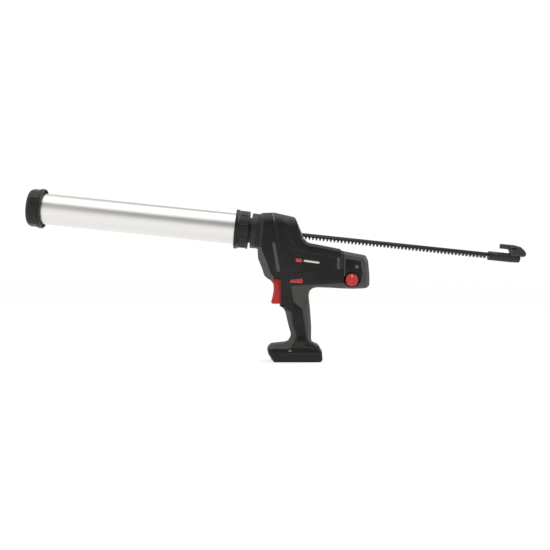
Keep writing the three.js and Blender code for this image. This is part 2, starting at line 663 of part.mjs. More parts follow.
// ---------------------------------------------------------------- gearbox
function buildGearbox() {
  const inner = GEARBOX_RADIUS - GEARBOX_WALL;
  const front = GEARBOX_FRONT;
  const shaftHole = BEVEL_SHAFT_RADIUS + 1;
  const wall = [
    [shaftHole, front],
    [GEARBOX_RADIUS, front],
    [GEARBOX_RADIUS, GEARBOX_REAR],
    [inner, GEARBOX_REAR],
    [inner, front + 2.5],
    [shaftHole, front + 2.5],
  ];
  add(drive, 'gearbox_case', turned(wall, 24), neckMetal);

  const hubFront = front + 5;
  const hubRadius = 10;
  const hubBore = BEVEL_SHAFT_RADIUS + GAP;
  const hubSection = [
    [hubBore, hubFront],
    [hubRadius, hubFront],
    [hubRadius, hubFront + 3],
    [hubBore, hubFront + 3],
  ];
  add(drive, 'clutch_hub', turned(hubSection, 20), darkSteel);

  const ringFront = front + 22;
  const ringRear = ringFront + RING_WIDTH;
  const ringGap = Math.PI / RING_TEETH;
  const ringTeeth = { teeth: RING_TEETH, module: PLANET_MODULE, phase: ringGap, backlash: -0.25 };
  const ringHole = gearPoints({ ...ringTeeth, addendum: 1.25, dedendum: 0.85 });
  const ringShape = polygon(circlePoints(inner - GAP, 24), [ringHole.reverse()]);
  add(drive, 'ring_gear', alongX(ringShape, ringFront, ringRear), brightSteel);

  const sunTeeth = { teeth: SUN_TEETH, module: PLANET_MODULE, phase: 0, backlash: 0.2, addendum: 0.85 };
  const sun = polygon(gearPoints(sunTeeth), [circlePoints(SHAFT_TIP_RADIUS + GAP, 10).reverse()]);
  add(drive, 'sun_gear', alongX(sun, ringFront - 0.5, ringRear + 0.5), brass);

  const carrierFront = hubFront + 4;
  const hub = rod(hubRadius, carrierFront, carrierFront + 5, 20);
  const disc = rod(inner - 2.5, carrierFront + 4, carrierFront + 8, 24);
  const pieces = [toManifold(hub), toManifold(disc)];
  for (let i = 0; i < PLANETS; i += 1) {
    const angle = (2 * Math.PI * i) / PLANETS;
    const y = PLANET_ORBIT * Math.cos(angle);
    const z = PLANET_ORBIT * Math.sin(angle);
    const pin = rod(PLANET_PIN_RADIUS, carrierFront + 7, ringRear, 10);
    pieces.push(toManifold(pin.translate(0, y, z)));
    const backToSun = angle + Math.PI - Math.PI / PLANET_TEETH;
    const phase = backToSun + (SUN_TEETH / PLANET_TEETH) * angle;
    const teeth = { teeth: PLANET_TEETH, module: PLANET_MODULE, phase, backlash: 0.2, addendum: 0.85 };
    const pinHole = circlePoints(PLANET_PIN_RADIUS + RUN, 10).reverse();
    const shape = polygon(gearPoints(teeth), [pinHole]);
    const planet = alongX(shape, ringFront + 0.5, ringRear - 0.5).translate(0, y, z);
    add(drive, `planet_gear_${i + 1}`, planet, brass);
  }
  add(drive, 'planet_carrier', toGeometry(join(pieces)), darkSteel);
}

// ---------------------------------------------------------------- motor
function buildMotor() {
  const inner = MOTOR_RADIUS - MOTOR_WALL;
  const shaftHole = SHAFT_RADIUS + RUN;
  const can = [
    [shaftHole, MOTOR_FRONT],
    [MOTOR_RADIUS, MOTOR_FRONT],
    [MOTOR_RADIUS, MOTOR_REAR],
    [inner, MOTOR_REAR],
    [inner, MOTOR_FRONT + MOTOR_WALL],
    [shaftHole, MOTOR_FRONT + MOTOR_WALL],
  ];
  add(drive, 'motor_can', turned(can, 24), brightSteel);

  const bellFront = MOTOR_REAR + GAP;
  const bell = [
    [shaftHole, bellFront],
    [MOTOR_RADIUS, bellFront],
    [MOTOR_RADIUS, bellFront + 4],
    [8, bellFront + 4],
    [8, bellFront + 5.5],
    [shaftHole, bellFront + 5.5],
  ];
  add(drive, 'motor_end_bell', turned(bell, 24), blackPlastic);

  const shaft = [
    [0, GEARBOX_FRONT + 20.5],
    [SHAFT_TIP_RADIUS, GEARBOX_FRONT + 20.5],
    [SHAFT_TIP_RADIUS, GEARBOX_REAR],
    [SHAFT_RADIUS, GEARBOX_REAR],
    [SHAFT_RADIUS, MOTOR_REAR + 14],
    [0, MOTOR_REAR + 14],
  ];
  add(drive, 'motor_shaft', turned(shaft, 12), brightSteel);

  const bore = circlePoints(SHAFT_RADIUS + GAP, 12).reverse();
  const poles = 7;
  const edge = inner - 3;
  // One side of a pole: the radius, then the share of half a pole's turn.
  const flank = [
    [6.5, 0.62],
    [11.5, 0.4],
    [11.5, 0.88],
    [edge, 0.82],
    [edge, 0.3],
  ];
  const pole = [...flank.map(([radius, share]) => [radius, -share]), ...[...flank].reverse()];
  const core = [];
  for (let i = 0; i < poles; i += 1) {
    for (const [radius, share] of pole) {
      const angle = (Math.PI * (2 * i + share)) / poles;
      core.push([radius * Math.cos(angle), radius * Math.sin(angle)]);
    }
  }
  add(drive, 'motor_rotor', alongX(polygon(core, [bore]), MOTOR_FRONT + 6, MOTOR_REAR - 8), darkSteel);

  const blades = 9;
  const blade = [
    [6, -0.2],
    [15.5, 0.02],
    [15.5, 0.14],
    [6, 0.1],
  ];
  const fan = [];
  for (let i = 0; i < blades; i += 1) {
    const centre = (2 * Math.PI * i) / blades;
    for (const [radius, turn] of blade) {
      fan.push([radius * Math.cos(centre + turn), radius * Math.sin(centre + turn)]);
    }
  }
  add(drive, 'cooling_fan', alongX(polygon(fan, [bore]), MOTOR_REAR + 7, MOTOR_REAR + 13), blackPlastic);
}

// ---------------------------------------------------------------- housing outlines, in x and z
const NOSE_OUTLINE = [
  [-62.3, 258],
  [-40.1, 259.5],
  [-4.4, 251.2],
  [7.7, 223.1],
  [10, 216],
  [17.7, 206.2],
  [30, 165],
  [12, 140],
  [-29, 144],
  [-50.2, 144],
  [-57.1, 148.9],
  [-62, 164],
  [-67.9, 178.3],
  [-68.9, 194.9],
];
const ARM_OUTLINE = [
  [-28, 214],
  [17.7, 206.2],
  [73.2, 195],
  [118.5, 184.2],
  [122, 178],
  [124.1, 146.7],
  [124.1, 133],
  [117, 127.2],
  [96.8, 126],
  [77.4, 126.4],
  [28, 128.4],
  [-16, 146],
];
const GRIP_OUTLINE = [
  [-29.1, 152],
  [-29.1, 98.5],
  [-21, 87.5],
  [-14, 57.8],
  [-10.8, 45],
  [-13.5, 26],
  [27.5, 26],
  [24.7, 43.8],
  [24.3, 74.9],
  [18.8, 117],
  [27, 134],
  [27, 152],
];
const BASE_OUTLINE = [
  [-40.8, 0],
  [-50.8, 16.8],
  [-52.5, 23.8],
  [-46, 29.2],
  [-19.1, 33.4],
  [-12, 38.5],
  [24.9, 38.5],
  [27.5, 31],
  [38, 27],
  [43, 15.4],
  [43.6, 4.2],
  [40, 0],
];

function archPoints(margin) {
  const half = NOSE_HALF - margin;
  const corner = NOSE_CORNER - margin;
  const top = NOSE_TOP - margin;
  const foot = half - NOSE_TAPER;
  const points = [
    [-half, -30],
    [-foot, -80],
    [-foot, -100],
    [foot, -100],
    [foot, -80],
    [half, -30],
  ];
  const steps = 4;
  for (let i = 0; i <= steps; i += 1) {
    const angle = (Math.PI * i) / (2 * steps);
    points.push([half - corner + corner * Math.cos(angle), top - corner + corner * Math.sin(angle)]);
  }
  for (let i = 0; i <= steps; i += 1) {
    const angle = Math.PI / 2 + (Math.PI * i) / (2 * steps);
    points.push([corner - half + corner * Math.cos(angle), top - corner + corner * Math.sin(angle)]);
  }
  return points;
}

// The solid that fills the housing's outside, or its inside when a margin is given.
function noseBody(margin) {
  const side = toManifold(acrossY(polygon(inset(NOSE_OUTLINE, margin)), -FAR, FAR));
  const arch = toManifold(alongX(polygon(archPoints(margin)), -90, 60), BARREL_MATRIX);
  return side.intersect(arch);
}

function roundedBody(outline, half, bevel, margin) {
  const points = margin ? inset(outline, margin) : outline;
  return toManifold(roundedAcrossY(points, half - margin, Math.max(bevel - margin, 0.5)));
}

const armBody = (margin) => roundedBody(ARM_OUTLINE, ARM_HALF, ARM_BEVEL, margin);
const gripBody = (margin) => roundedBody(GRIP_OUTLINE, GRIP_HALF, GRIP_BEVEL, margin);
const baseBody = (margin) => roundedBody(BASE_OUTLINE, BASE_HALF, BASE_BEVEL, margin);

// ---------------------------------------------------------------- openings and bosses
const HOUSING_SCREWS = [
  [-43.5, 249],
  [62, 190],
  [12, 95],
  [9, 43],
];

const LOCK_OUTLINE = [
  [-12.3, 137.7],
  [8.8, 136.2],
  [8.8, 143.9],
  [-12.3, 141.4],
];
const TRIGGER_OUTLINE = [
  [-50.6, 143.4],
  [-45.3, 139.8],
  [-42, 134.8],
  [-41.1, 126.4],
  [-42.7, 113.8],
  [-45.3, 102.9],
  [-43.6, 100.1],
  [-29.9, 99.6],
  [-29.9, 143.4],
];
const TRIGGER_STEM_HALF = 6;
const STEM_REAR = -19; // x where the trigger's stem ends and its spring begins
const SWITCH = { x0: -8, x1: 14, half: 8.5, z0: 105, z1: 129 };
const TERMINAL = { x0: 12, x1: 28, half: 14, z0: 5.5, z1: 22 };
const LENS = { x: -12.9, z: 19.5, radius: 2.9, stretch: 1.6, depth: 2.6 };
const POT = { x0: 88, x1: 99, depth: 7, z0: 130, z1: 146 };
const TAB = { x0: 70, x1: 108, z0: 158, z1: 170, thickness: 4 };
const CAP_SCREW = { x: 102, z: 164 };
const CAP_SCREW_HEAD = 2.9;
const CAP_SCREW_HEAD_HEIGHT = 1.6;

function slotTools() {
  const low = block(SLOT_FRONT, SLOT_REAR, -SLOT_HALF, SLOT_HALF, -5, SLOT_ROOF);
  const groove = block(SLOT_FRONT, SLOT_REAR, -RAIL_HALF, RAIL_HALF, RAIL_TOP, RAIL_GROOVE_TOP);
  return [toManifold(low), toManifold(groove)];
}

function baseFloor() {
  const slab = toManifold(block(-80, 80, -BASE_HALF, BASE_HALF, -1, SLOT_ROOF + WALL));
  return baseBody(0).intersect(slab);
}

function triggerRoom() {
  const half = TRIGGER_HALF + GAP + 0.1;
  const reach = TRIGGER_TRAVEL + 1.6;
  const mouth = toManifold(block(-33, -29.9 + reach, -half, half, 99.6 - GAP, 143.4 + GAP));
  const finger = acrossY(polygon(TRIGGER_OUTLINE), -half, half);
  return [mouth, toManifold(finger.translate(reach, 0, 0))];
}

function housingTools() {
  const inNose = (geometry) => toManifold(geometry, BARREL_MATRIX);
  const tools = [
    inNose(rod(NECK_TAIL_RADIUS + RUN, NOSE_FACE - 12, NECK_TAIL + GAP, ROUND_STEPS)),
    inNose(block(0, 40, -RACK_WIDTH / 2 - 1, RACK_WIDTH / 2 + 1, RACK_TIP - 1.2, RACK_TOP + 1.2)),
    inNose(block(-90, NOSE_FACE, -FAR, FAR, -FAR, FAR)),
    toManifold(acrossY(polygon(inset(LOCK_OUTLINE, -GAP)), -FAR, FAR)),
    lensTool(GAP),
    toManifold(terminalBlock(GAP)),
    ...triggerRoom(),
    ...slotTools(),
  ];
  for (const [x, z] of HOUSING_SCREWS) {
    tools.push(toManifold(crossRod(SCREW_SHANK + GAP, x, z, -14, SCREW_SEAT_Y + 1, 12)));
    tools.push(toManifold(crossRod(SCREW_HEAD + 0.4, x, z, SCREW_SEAT_Y, FAR, 14)));
  }
  return tools;
}

function sideTab(side) {
  const outer = side * (ARM_HALF - WALL - 0.5);
  const inner = outer - side * TAB.thickness;
  const [y0, y1] = [Math.min(outer, inner), Math.max(outer, inner)];
  const tab = toManifold(block(TAB.x0, TAB.x1, y0, y1, TAB.z0, TAB.z1));
  const intoWall = outer + side * 2;
  const foot = [Math.min(intoWall, inner), Math.max(intoWall, inner)];
  return tab.add(toManifold(block(TAB.x0, CAP_SEAM - 4, ...foot, TAB.z0, TAB.z1)));
}

function buildHousing() {
  const bodies = [noseBody, armBody, gripBody, baseBody];
  const outer = join(bodies.map((body) => body(0)));
  const inner = join(bodies.map((body) => body(WALL)));
  const bosses = HOUSING_SCREWS.map(([x, z]) => toManifold(crossRod(BOSS_RADIUS, x, z, -FAR, FAR, 14)));
  const filled = join([outer.subtract(inner), baseFloor(), ...bosses]).intersect(outer);
  const front = toManifold(block(-100, CAP_SEAM - GAP / 2, -FAR, FAR, -10, 300));
  const tabHole = toManifold(crossRod(SCREW_SHANK + GAP, CAP_SCREW.x, CAP_SCREW.z, -FAR, 0, 12));
  const tabs = join([sideTab(-1), sideTab(1)]).subtract(tabHole);
  const shell = cut(filled, housingTools()).intersect(front).add(tabs);
  const halves = [
    ['housing_left', -FAR, -GAP / 2],
    ['housing_right', GAP / 2, FAR],
  ];
  for (const [name, y0, y1] of halves) {
    const half = shell.intersect(toManifold(block(-100, 200, y0, y1, -10, 300)));
    const recess = padTool(Math.sign(y0 + y1));
    add(root, name, toGeometry(half.subtract(recess)), blackPlastic);
  }
}

function buildRearCap() {
  const rear = toManifold(block(CAP_SEAM + GAP / 2, 200, -FAR, FAR, -10, 300));
  const shell = armBody(0).subtract(armBody(WALL)).intersect(rear);
  const tools = [
    toManifold(crossRod(DIAL_RADIUS + RUN, DIAL_X, DIAL_Z, -FAR, 0, 24)),
    toManifold(crossRod(SCREW_SHANK + GAP, CAP_SCREW.x, CAP_SCREW.z, -FAR, 0, 12)),
    toManifold(crossRod(CAP_SCREW_HEAD + RUN, CAP_SCREW.x, CAP_SCREW.z, -FAR, -ARM_HALF + 1, 14)),
  ];
  for (let i = 0; i < 5; i += 1) {
    const x = 86 + 5 * i;
    tools.push(toManifold(block(x, x + 2.2, -FAR, -20, 172, 179)));
    tools.push(toManifold(block(x, x + 2.2, 20, FAR, 140, 155)));
    tools.push(toManifold(block(110, 140, -16, 16, 140 + 7 * i, 143 + 7 * i)));
  }
  add(root, 'rear_cap', toGeometry(cut(shell, tools)), blackPlastic);
  const head = rod(CAP_SCREW_HEAD, 0, CAP_SCREW_HEAD_HEIGHT, 14);
  const shank = rod(SCREW_SHANK, CAP_SCREW_HEAD_HEIGHT - 0.1, 9, 12);
  const screw = toGeometry(toManifold(head).add(toManifold(shank))).rotateZ(Math.PI / 2);
  add(root, 'cap_screw', screw.translate(CAP_SCREW.x, -ARM_HALF - 0.7, CAP_SCREW.z), brightSteel);
}

// ---------------------------------------------------------------- soft grip skins
// Each is let into the housing's side.
const PAD_OUTLINE = [
  [-20, 128],
  [-19, 96],
  [-10, 60],
  [-6.5, 46],
  [18, 46],
  [17.5, 74],
  [13, 112],
  [19, 126],
  [72, 134],
  [72, 139],
  [20, 137],
  [8, 133],
];
const PAD_THICKNESS = 1.4;
const PAD_DEPTH = 1.2;

function padRegion(outline, side, outerMargin, innerMargin) {
  const skin = (margin) => join([armBody(margin), gripBody(margin)]);
  const shell = skin(outerMargin).subtract(skin(innerMargin));
  const [y0, y1] = side < 0 ? [-FAR, -4] : [4, FAR];
  return shell.intersect(toManifold(acrossY(polygon(outline), y0, y1)));
}

function padTool(side) {
  return padRegion(inset(PAD_OUTLINE, -GAP), side, -1, PAD_DEPTH + GAP);
}

function buildPads() {
  for (const [name, side] of [['grip_pad_left', -1], ['grip_pad_right', 1]]) {
    const pad = padRegion(PAD_OUTLINE, side, PAD_DEPTH - PAD_THICKNESS + 0.2, PAD_DEPTH);
    add(root, name, toGeometry(pad), greyRubber);
  }
}

// ---------------------------------------------------------------- controls
function lensTool(play) {
  const { x, z, radius, stretch, depth } = LENS;
  const oval = circlePoints(radius + play, 16).map(([px, pz]) => [x + px, z + pz / stretch]);
  return toManifold(acrossY(polygon(oval), -BASE_HALF + (play ? -1 : -0.2), -BASE_HALF + depth + play));
}

function terminalBlock(play) {
  const { x0, x1, half, z0, z1 } = TERMINAL;
  return block(x0 - play, x1 + play, -half - play, half + play, z0 - (play ? 10 : 0), z1 + play);
}

// A compression spring along X at a height.
function coilSpring(front, rear, z) {
  const turns = 4;
  const steps = 10 * turns;
  const radius = 3;
  const wireRadius = 0.6;
  const points = [];
  for (let i = 0; i <= steps; i += 1) {
    const angle = (2 * Math.PI * turns * i) / steps;
    const x = front + ((rear - front) * i) / steps;
    points.push(new THREE.Vector3(x, radius * Math.cos(angle), z + radius * Math.sin(angle)));
  }
  const extrudePath = new THREE.CatmullRomCurve3(points);
  return new THREE.ExtrudeGeometry(polygon(circlePoints(wireRadius, 5)), { steps, extrudePath });
}

function buildControls() {
  const blade = toManifold(acrossY(polygon(TRIGGER_OUTLINE), -TRIGGER_HALF, TRIGGER_HALF));
  const stem = toManifold(block(-31, STEM_REAR, -TRIGGER_STEM_HALF, TRIGGER_STEM_HALF, 108, 125));
  add(root, 'trigger', toGeometry(blade.add(stem)), redPlastic);

  const { x0, x1, half, z0, z1 } = SWITCH;
  add(root, 'trigger_switch', block(x0, x1, -half, half, z0, z1), blackPlastic);

  add(root, 'trigger_spring', coilSpring(STEM_REAR + 1, x0 - 1, 116.5), brightSteel);

  const lock = acrossY(polygon(LOCK_OUTLINE), -LOCK_HALF - LOCK_PROUD, LOCK_HALF - 1);
  add(root, 'lock_button', lock, redPlastic);

  const dialFront = -ARM_HALF - DIAL_PROUD;
  const knob = toManifold(crossRod(DIAL_RADIUS, DIAL_X, DIAL_Z, dialFront, -ARM_HALF + WALL + 1, 24));
  const stalk = toManifold(crossRod(2.5, DIAL_X, DIAL_Z, -ARM_HALF + WALL, -ARM_HALF + WALL + 6.5, 12));
  add(root, 'speed_dial', toGeometry(knob.add(stalk)), redPlastic);
  const potFront = -ARM_HALF + WALL + 7;
  const pot = block(POT.x0, POT.x1, potFront, potFront + POT.depth, POT.z0, POT.z1);
  add(root, 'dial_potentiometer', pot, boardGreen);

  const boardZ = SLOT_ROOF + WALL + 6;
  add(root, 'control_board', block(-32, 8, -18, 18, boardZ, boardZ + 1.6), boardGreen);
  add(root, 'terminal_block', terminalBlock(0), blackPlastic);
  add(root, 'charge_lens', toGeometry(lensTool(0)), lensPlastic);

  HOUSING_SCREWS.forEach(([x, z], i) => {
    const head = rod(SCREW_HEAD, GAP, 2.6, 14);
    const shank = rod(SCREW_SHANK, -SCREW_SEAT_Y - 12, GAP + 0.1, 12);
    const screw = toGeometry(toManifold(head).add(toManifold(shank))).rotateZ(Math.PI / 2);
    add(root, `housing_screw_${i + 1}`, screw.translate(x, SCREW_SEAT_Y, z), darkSteel);
  });
}

buildBarrel();
buildBushes();
buildRod();
buildPiston();
buildFrame();
buildSpurs();
buildBevels();
buildGearbox();
buildMotor();
buildHousing();
buildRearCap();
buildPads();
buildControls();

// The origin is the middle of the bounding box's underside.
root.updateMatrixWorld(true);
const box = new THREE.Box3();
root.traverse((object) => {
  if (!object.isMesh) return;
  box.expandByObject(object, true);
});
root.position.set(-(box.min.x + box.max.x) / 2, -(box.min.y + box.max.y) / 2, -box.min.z);

export default root;
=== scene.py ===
"""Looks for a cordless caulking gun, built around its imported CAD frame.

Lengths are millimetres until a piece is put in place. Two drawings are used. The housing's has x to the
rear, y to the right-hand side and z up, and the speed dial's axis ties it to the frame. The barrel's has
s along the tilted barrel axis, to the rear, and h square to it, upwards.
"""

import json
import math

import bmesh
import bpy
import numpy as np
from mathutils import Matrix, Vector, geometry


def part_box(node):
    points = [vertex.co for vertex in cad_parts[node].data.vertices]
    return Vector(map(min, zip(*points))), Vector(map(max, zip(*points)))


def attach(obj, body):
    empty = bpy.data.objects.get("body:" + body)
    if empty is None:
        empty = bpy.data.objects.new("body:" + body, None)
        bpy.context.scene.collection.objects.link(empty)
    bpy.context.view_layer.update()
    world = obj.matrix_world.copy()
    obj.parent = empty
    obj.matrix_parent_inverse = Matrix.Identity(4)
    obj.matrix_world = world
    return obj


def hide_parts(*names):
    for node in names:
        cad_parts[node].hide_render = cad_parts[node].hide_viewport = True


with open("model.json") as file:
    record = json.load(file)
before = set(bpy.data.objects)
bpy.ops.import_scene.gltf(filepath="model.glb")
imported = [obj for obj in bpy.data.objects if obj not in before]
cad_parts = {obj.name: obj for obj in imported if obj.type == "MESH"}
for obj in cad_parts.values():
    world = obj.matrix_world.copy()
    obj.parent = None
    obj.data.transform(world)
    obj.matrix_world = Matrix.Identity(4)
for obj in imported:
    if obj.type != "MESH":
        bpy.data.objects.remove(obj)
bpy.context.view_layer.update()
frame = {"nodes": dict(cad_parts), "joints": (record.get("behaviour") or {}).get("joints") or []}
JOINTS = {joint["name"]: joint for joint in frame["joints"]}
MM = 0.001

# ------------------------------------------------------------------ the two drawings and the frame
DIAL_X, DIAL_Z, DIAL_R = 93.5, 141.4, 10.7
SHIFT = JOINTS["dial_turn"]["pos_m"][0] / MM - DIAL_X
REAR = -np.array(JOINTS["rod_slide"]["axis"])
UP = np.array([-REAR[2], 0.0, REAR[0]])
NUT_PIVOT = np.array(JOINTS["nut_turn"]["pos_m"]) / MM - np.array([SHIFT, 0, 0])
AXIS_START = NUT_PIVOT - REAR * NUT_PIVOT[0] / REAR[0]


def in_housing(points):
    """Housing drawing (x, y, z) to metres in the frame."""
    return (np.asarray(points, float) + [SHIFT, 0, 0]) * MM


def in_barrel(points):
    """Barrel drawing (s, y, h) to metres in the frame."""
    s, y, h = np.asarray(points, float).T
    spots = AXIS_START + np.outer(s, REAR) + np.outer(h, UP) + np.outer(y, [0, 1, 0])
    return in_housing(spots)


def barrel_span(node):
    """The lowest and highest s of a CAD node, and its largest radius."""
    spots = np.array([v.co for v in frame["nodes"][node].data.vertices]) / MM - [SHIFT, 0, 0] - AXIS_START
    s = spots @ REAR
    radius = np.hypot(spots @ UP, spots[:, 1])
    return s.min(), s.max(), radius.max()


# ------------------------------------------------------------------ outlines
def rounded(corners, steps=5):
    """A closed outline from (u, v, radius) corners. Each corner becomes an arc of that radius."""
    points = []
    count = len(corners)
    for i in range(count):
        u, v, radius = corners[i]
        here = Vector((u, v))
        back = Vector(corners[i - 1][:2]) - here
        ahead = Vector(corners[(i + 1) % count][:2]) - here
        turn = math.pi - back.angle(ahead)
        if radius <= 0 or turn < 0.02:
            points.append((u, v))
            continue
        reach = min(radius * math.tan(turn / 2), 0.48 * min(back.length, ahead.length))
        start, end = here + back.normalized() * reach, here + ahead.normalized() * reach
        pieces = max(2, round(steps * turn / (math.pi / 2)) + 1)
        for k in range(pieces + 1):
            t = k / pieces
            spot = start * (1 - t) ** 2 + here * 2 * t * (1 - t) + end * t**2
            points.append((spot.x, spot.y))
    return points


def ring(u, v, radius, steps=40):
    """The points of a circle."""
    turns = [2 * math.pi * k / steps for k in range(steps)]
    return [(u + radius * math.cos(a), v + radius * math.sin(a)) for a in turns]


def fine(line, step, closed=True):
    """The same line with points added so that none are further apart than step."""
    points = []
    ends = line[1:] + line[:1] if closed else line[1:]
    for (u0, v0), (u1, v1) in zip(line, ends):
        pieces = max(1, math.ceil(math.hypot(u1 - u0, v1 - v0) / step))
        for k in range(pieces):
            t = k / pieces
            points.append((u0 + (u1 - u0) * t, v0 + (v1 - v0) * t))
    if not closed:
        points.append(line[-1])
    return points


def segments(line, closed=True):
    """The starts and the ends of a line's segments."""
    points = np.array(line, float)
    ends = np.roll(points, -1, axis=0) if closed else points[1:]
    starts = points if closed else points[:-1]
    return starts, ends


def distances(points, starts, ends):
    """The distance from every point to every segment."""
    span = ends - starts
    length = np.maximum((span**2).sum(1), 1e-12)
    away = points[:, None] - starts
    t = np.clip((away * span).sum(2) / length, 0, 1)
    return np.linalg.norm(away - t[..., None] * span, axis=2)


def in_blocks(points, work, size=1500):
    """Runs work on a block of the points at a time, which keeps the memory it needs small."""
    return np.concatenate([work(points[i : i + size]) for i in range(0, len(points), size)])


def nearest(points, line, closed=True):
    """The distance from every point to a line."""
    starts, ends = segments(line, closed)
    return in_blocks(points, lambda some: distances(some, starts, ends).min(1))


def inside(points, line):
    """Which points lie inside a closed outline."""
    starts, ends = segments(line)

    def crossings(some):
        u, v = some[:, :1], some[:, 1:]
        spans = (starts[:, 1] > v) != (ends[:, 1] > v)
        rise = np.where(ends[:, 1] == starts[:, 1], 1e-9, ends[:, 1] - starts[:, 1])
        meets = starts[:, 0] + (v - starts[:, 1]) * (ends[:, 0] - starts[:, 0]) / rise
        return (spans & (u < meets)).sum(1) % 2 == 1

    return in_blocks(points, crossings)


def signed(points, line):
    """Distance to a closed outline, positive inside it."""
    return np.where(inside(points, line), 1, -1) * nearest(points, line)


def smooth(t):
    """An S curve that rises from 0 to 1 as t goes from 0 to 1."""
    t = np.clip(t, 0, 1)
    return t * t * (3 - 2 * t)


def shoulder(t):
    """A quarter round that rises from 0 to 1 as t goes from 0 to 1."""
    return np.sqrt(np.maximum(0, 1 - (1 - np.clip(t, 0, 1)) ** 2))


def curve(value, stops):
    """A smooth curve through (place, value) stops."""
    places, values = np.array(stops, float).T
    slopes = np.gradient(values, places)
    value = np.clip(value, places[0], places[-1])
    i = np.clip(np.searchsorted(places, value) - 1, 0, len(places) - 2)
    width = places[i + 1] - places[i]
    t = (value - places[i]) / width
    return (
        (2 * t**3 - 3 * t**2 + 1) * values[i]
        + (t**3 - 2 * t**2 + t) * width * slopes[i]
        + (3 * t**2 - 2 * t**3) * values[i + 1]
        + (t**3 - t**2) * width * slopes[i + 1]
    )


def line_x(line, z):
    """Where a line that was written from its top down stands at each height."""
    places = np.array(line)[::-1]
    return np.interp(z, places[:, 1], places[:, 0])


# ------------------------------------------------------------------ putting meshes in place
def put(name, points, faces, finish, body, replaces=(), place=in_housing, crease=32, weld=True):
    """Makes a piece from drawing points, shades it smooth up to the crease angle and ties it to its body."""
    work = bmesh.new()
    spots = [work.verts.new(p) for p in place(points)]
    for face in faces:
        if len(set(face)) > 2:
            # A face that is there already is left out.
            try:
                work.faces.new([spots[i] for i in face])
            except ValueError:
                pass
    if weld:
        bmesh.ops.remove_doubles(work, verts=work.verts, dist=2e-6)
        bmesh.ops.dissolve_degenerate(work, edges=work.edges, dist=1e-6)
        bmesh.ops.recalc_face_normals(work, faces=work.faces)
    limit = math.radians(crease)
    for edge in work.edges:
        edge.smooth = len(edge.link_faces) == 2 and edge.calc_face_angle(0) < limit
    for face in work.faces:
        face.smooth = True
    mesh = bpy.data.meshes.new(name)
    work.to_mesh(mesh)
    work.free()
    mesh.materials.append(finish["material"])
    piece = bpy.data.objects.new(name, mesh)
    bpy.context.scene.collection.objects.link(piece)
    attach(piece, body)
    if replaces:
        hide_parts(*replaces)
    return piece


def soften(piece, width, steps=2):
    """Bevels a piece's edges, to a width in millimetres."""
    bevel = piece.modifiers.new("edges", "BEVEL")
    bevel.width = width * MM
    bevel.segments = steps
    bevel.limit_method = "ANGLE"
    bevel.angle_limit = math.radians(30)
    bevel.harden_normals = False


def thicken(piece, wall_mm):
    """Gives a sheet its wall, inwards."""
    solid = piece.modifiers.new("wall", "SOLIDIFY")
    solid.thickness = wall_mm * MM
    solid.offset = -1


def joined(parts):
    """Several (points, faces) meshes as one."""
    points, faces = [], []
    for more_points, more_faces in parts:
        base = len(points)
        points += more_points
        faces += [tuple(i + base for i in face) for face in more_faces]
    return points, faces


def lathe(profile, turns, shape=None):
    """Points (s, y, h) and faces of a closed (s, radius) profile turned about the axis."""
    points, faces = [], []
    count = len(profile)
    for k in range(turns):
        angle = 2 * math.pi * k / turns
        for s, radius in profile:
            r = shape(s, radius, angle) if shape and radius > 0 else radius
            points.append((s, -r * math.sin(angle), r * math.cos(angle)))
    for k in range(turns):
        a, b = k * count, (k + 1) % turns * count
        for i in range(count):
            j = (i + 1) % count
            faces.append((a + i, a + j, b + j, b + i))
    return points, faces


def prism(outline, low, high, order):
    """Points and faces of an outline swept from low to high. order says where u, v and the sweep go."""
    points = [(u, v, low) for u, v in outline] + [(u, v, high) for u, v in outline]
    count = len(outline)
    faces = [tuple(range(count)), tuple(range(2 * count - 1, count - 1, -1))]
    faces += [(i, (i + 1) % count, (i + 1) % count + count, i + count) for i in range(count)]
    return [tuple(p[order.index(k)] for k in range(3)) for p in points], faces


ALONG_Y = (0, 2, 1)
ALONG_X = (1, 2, 0)


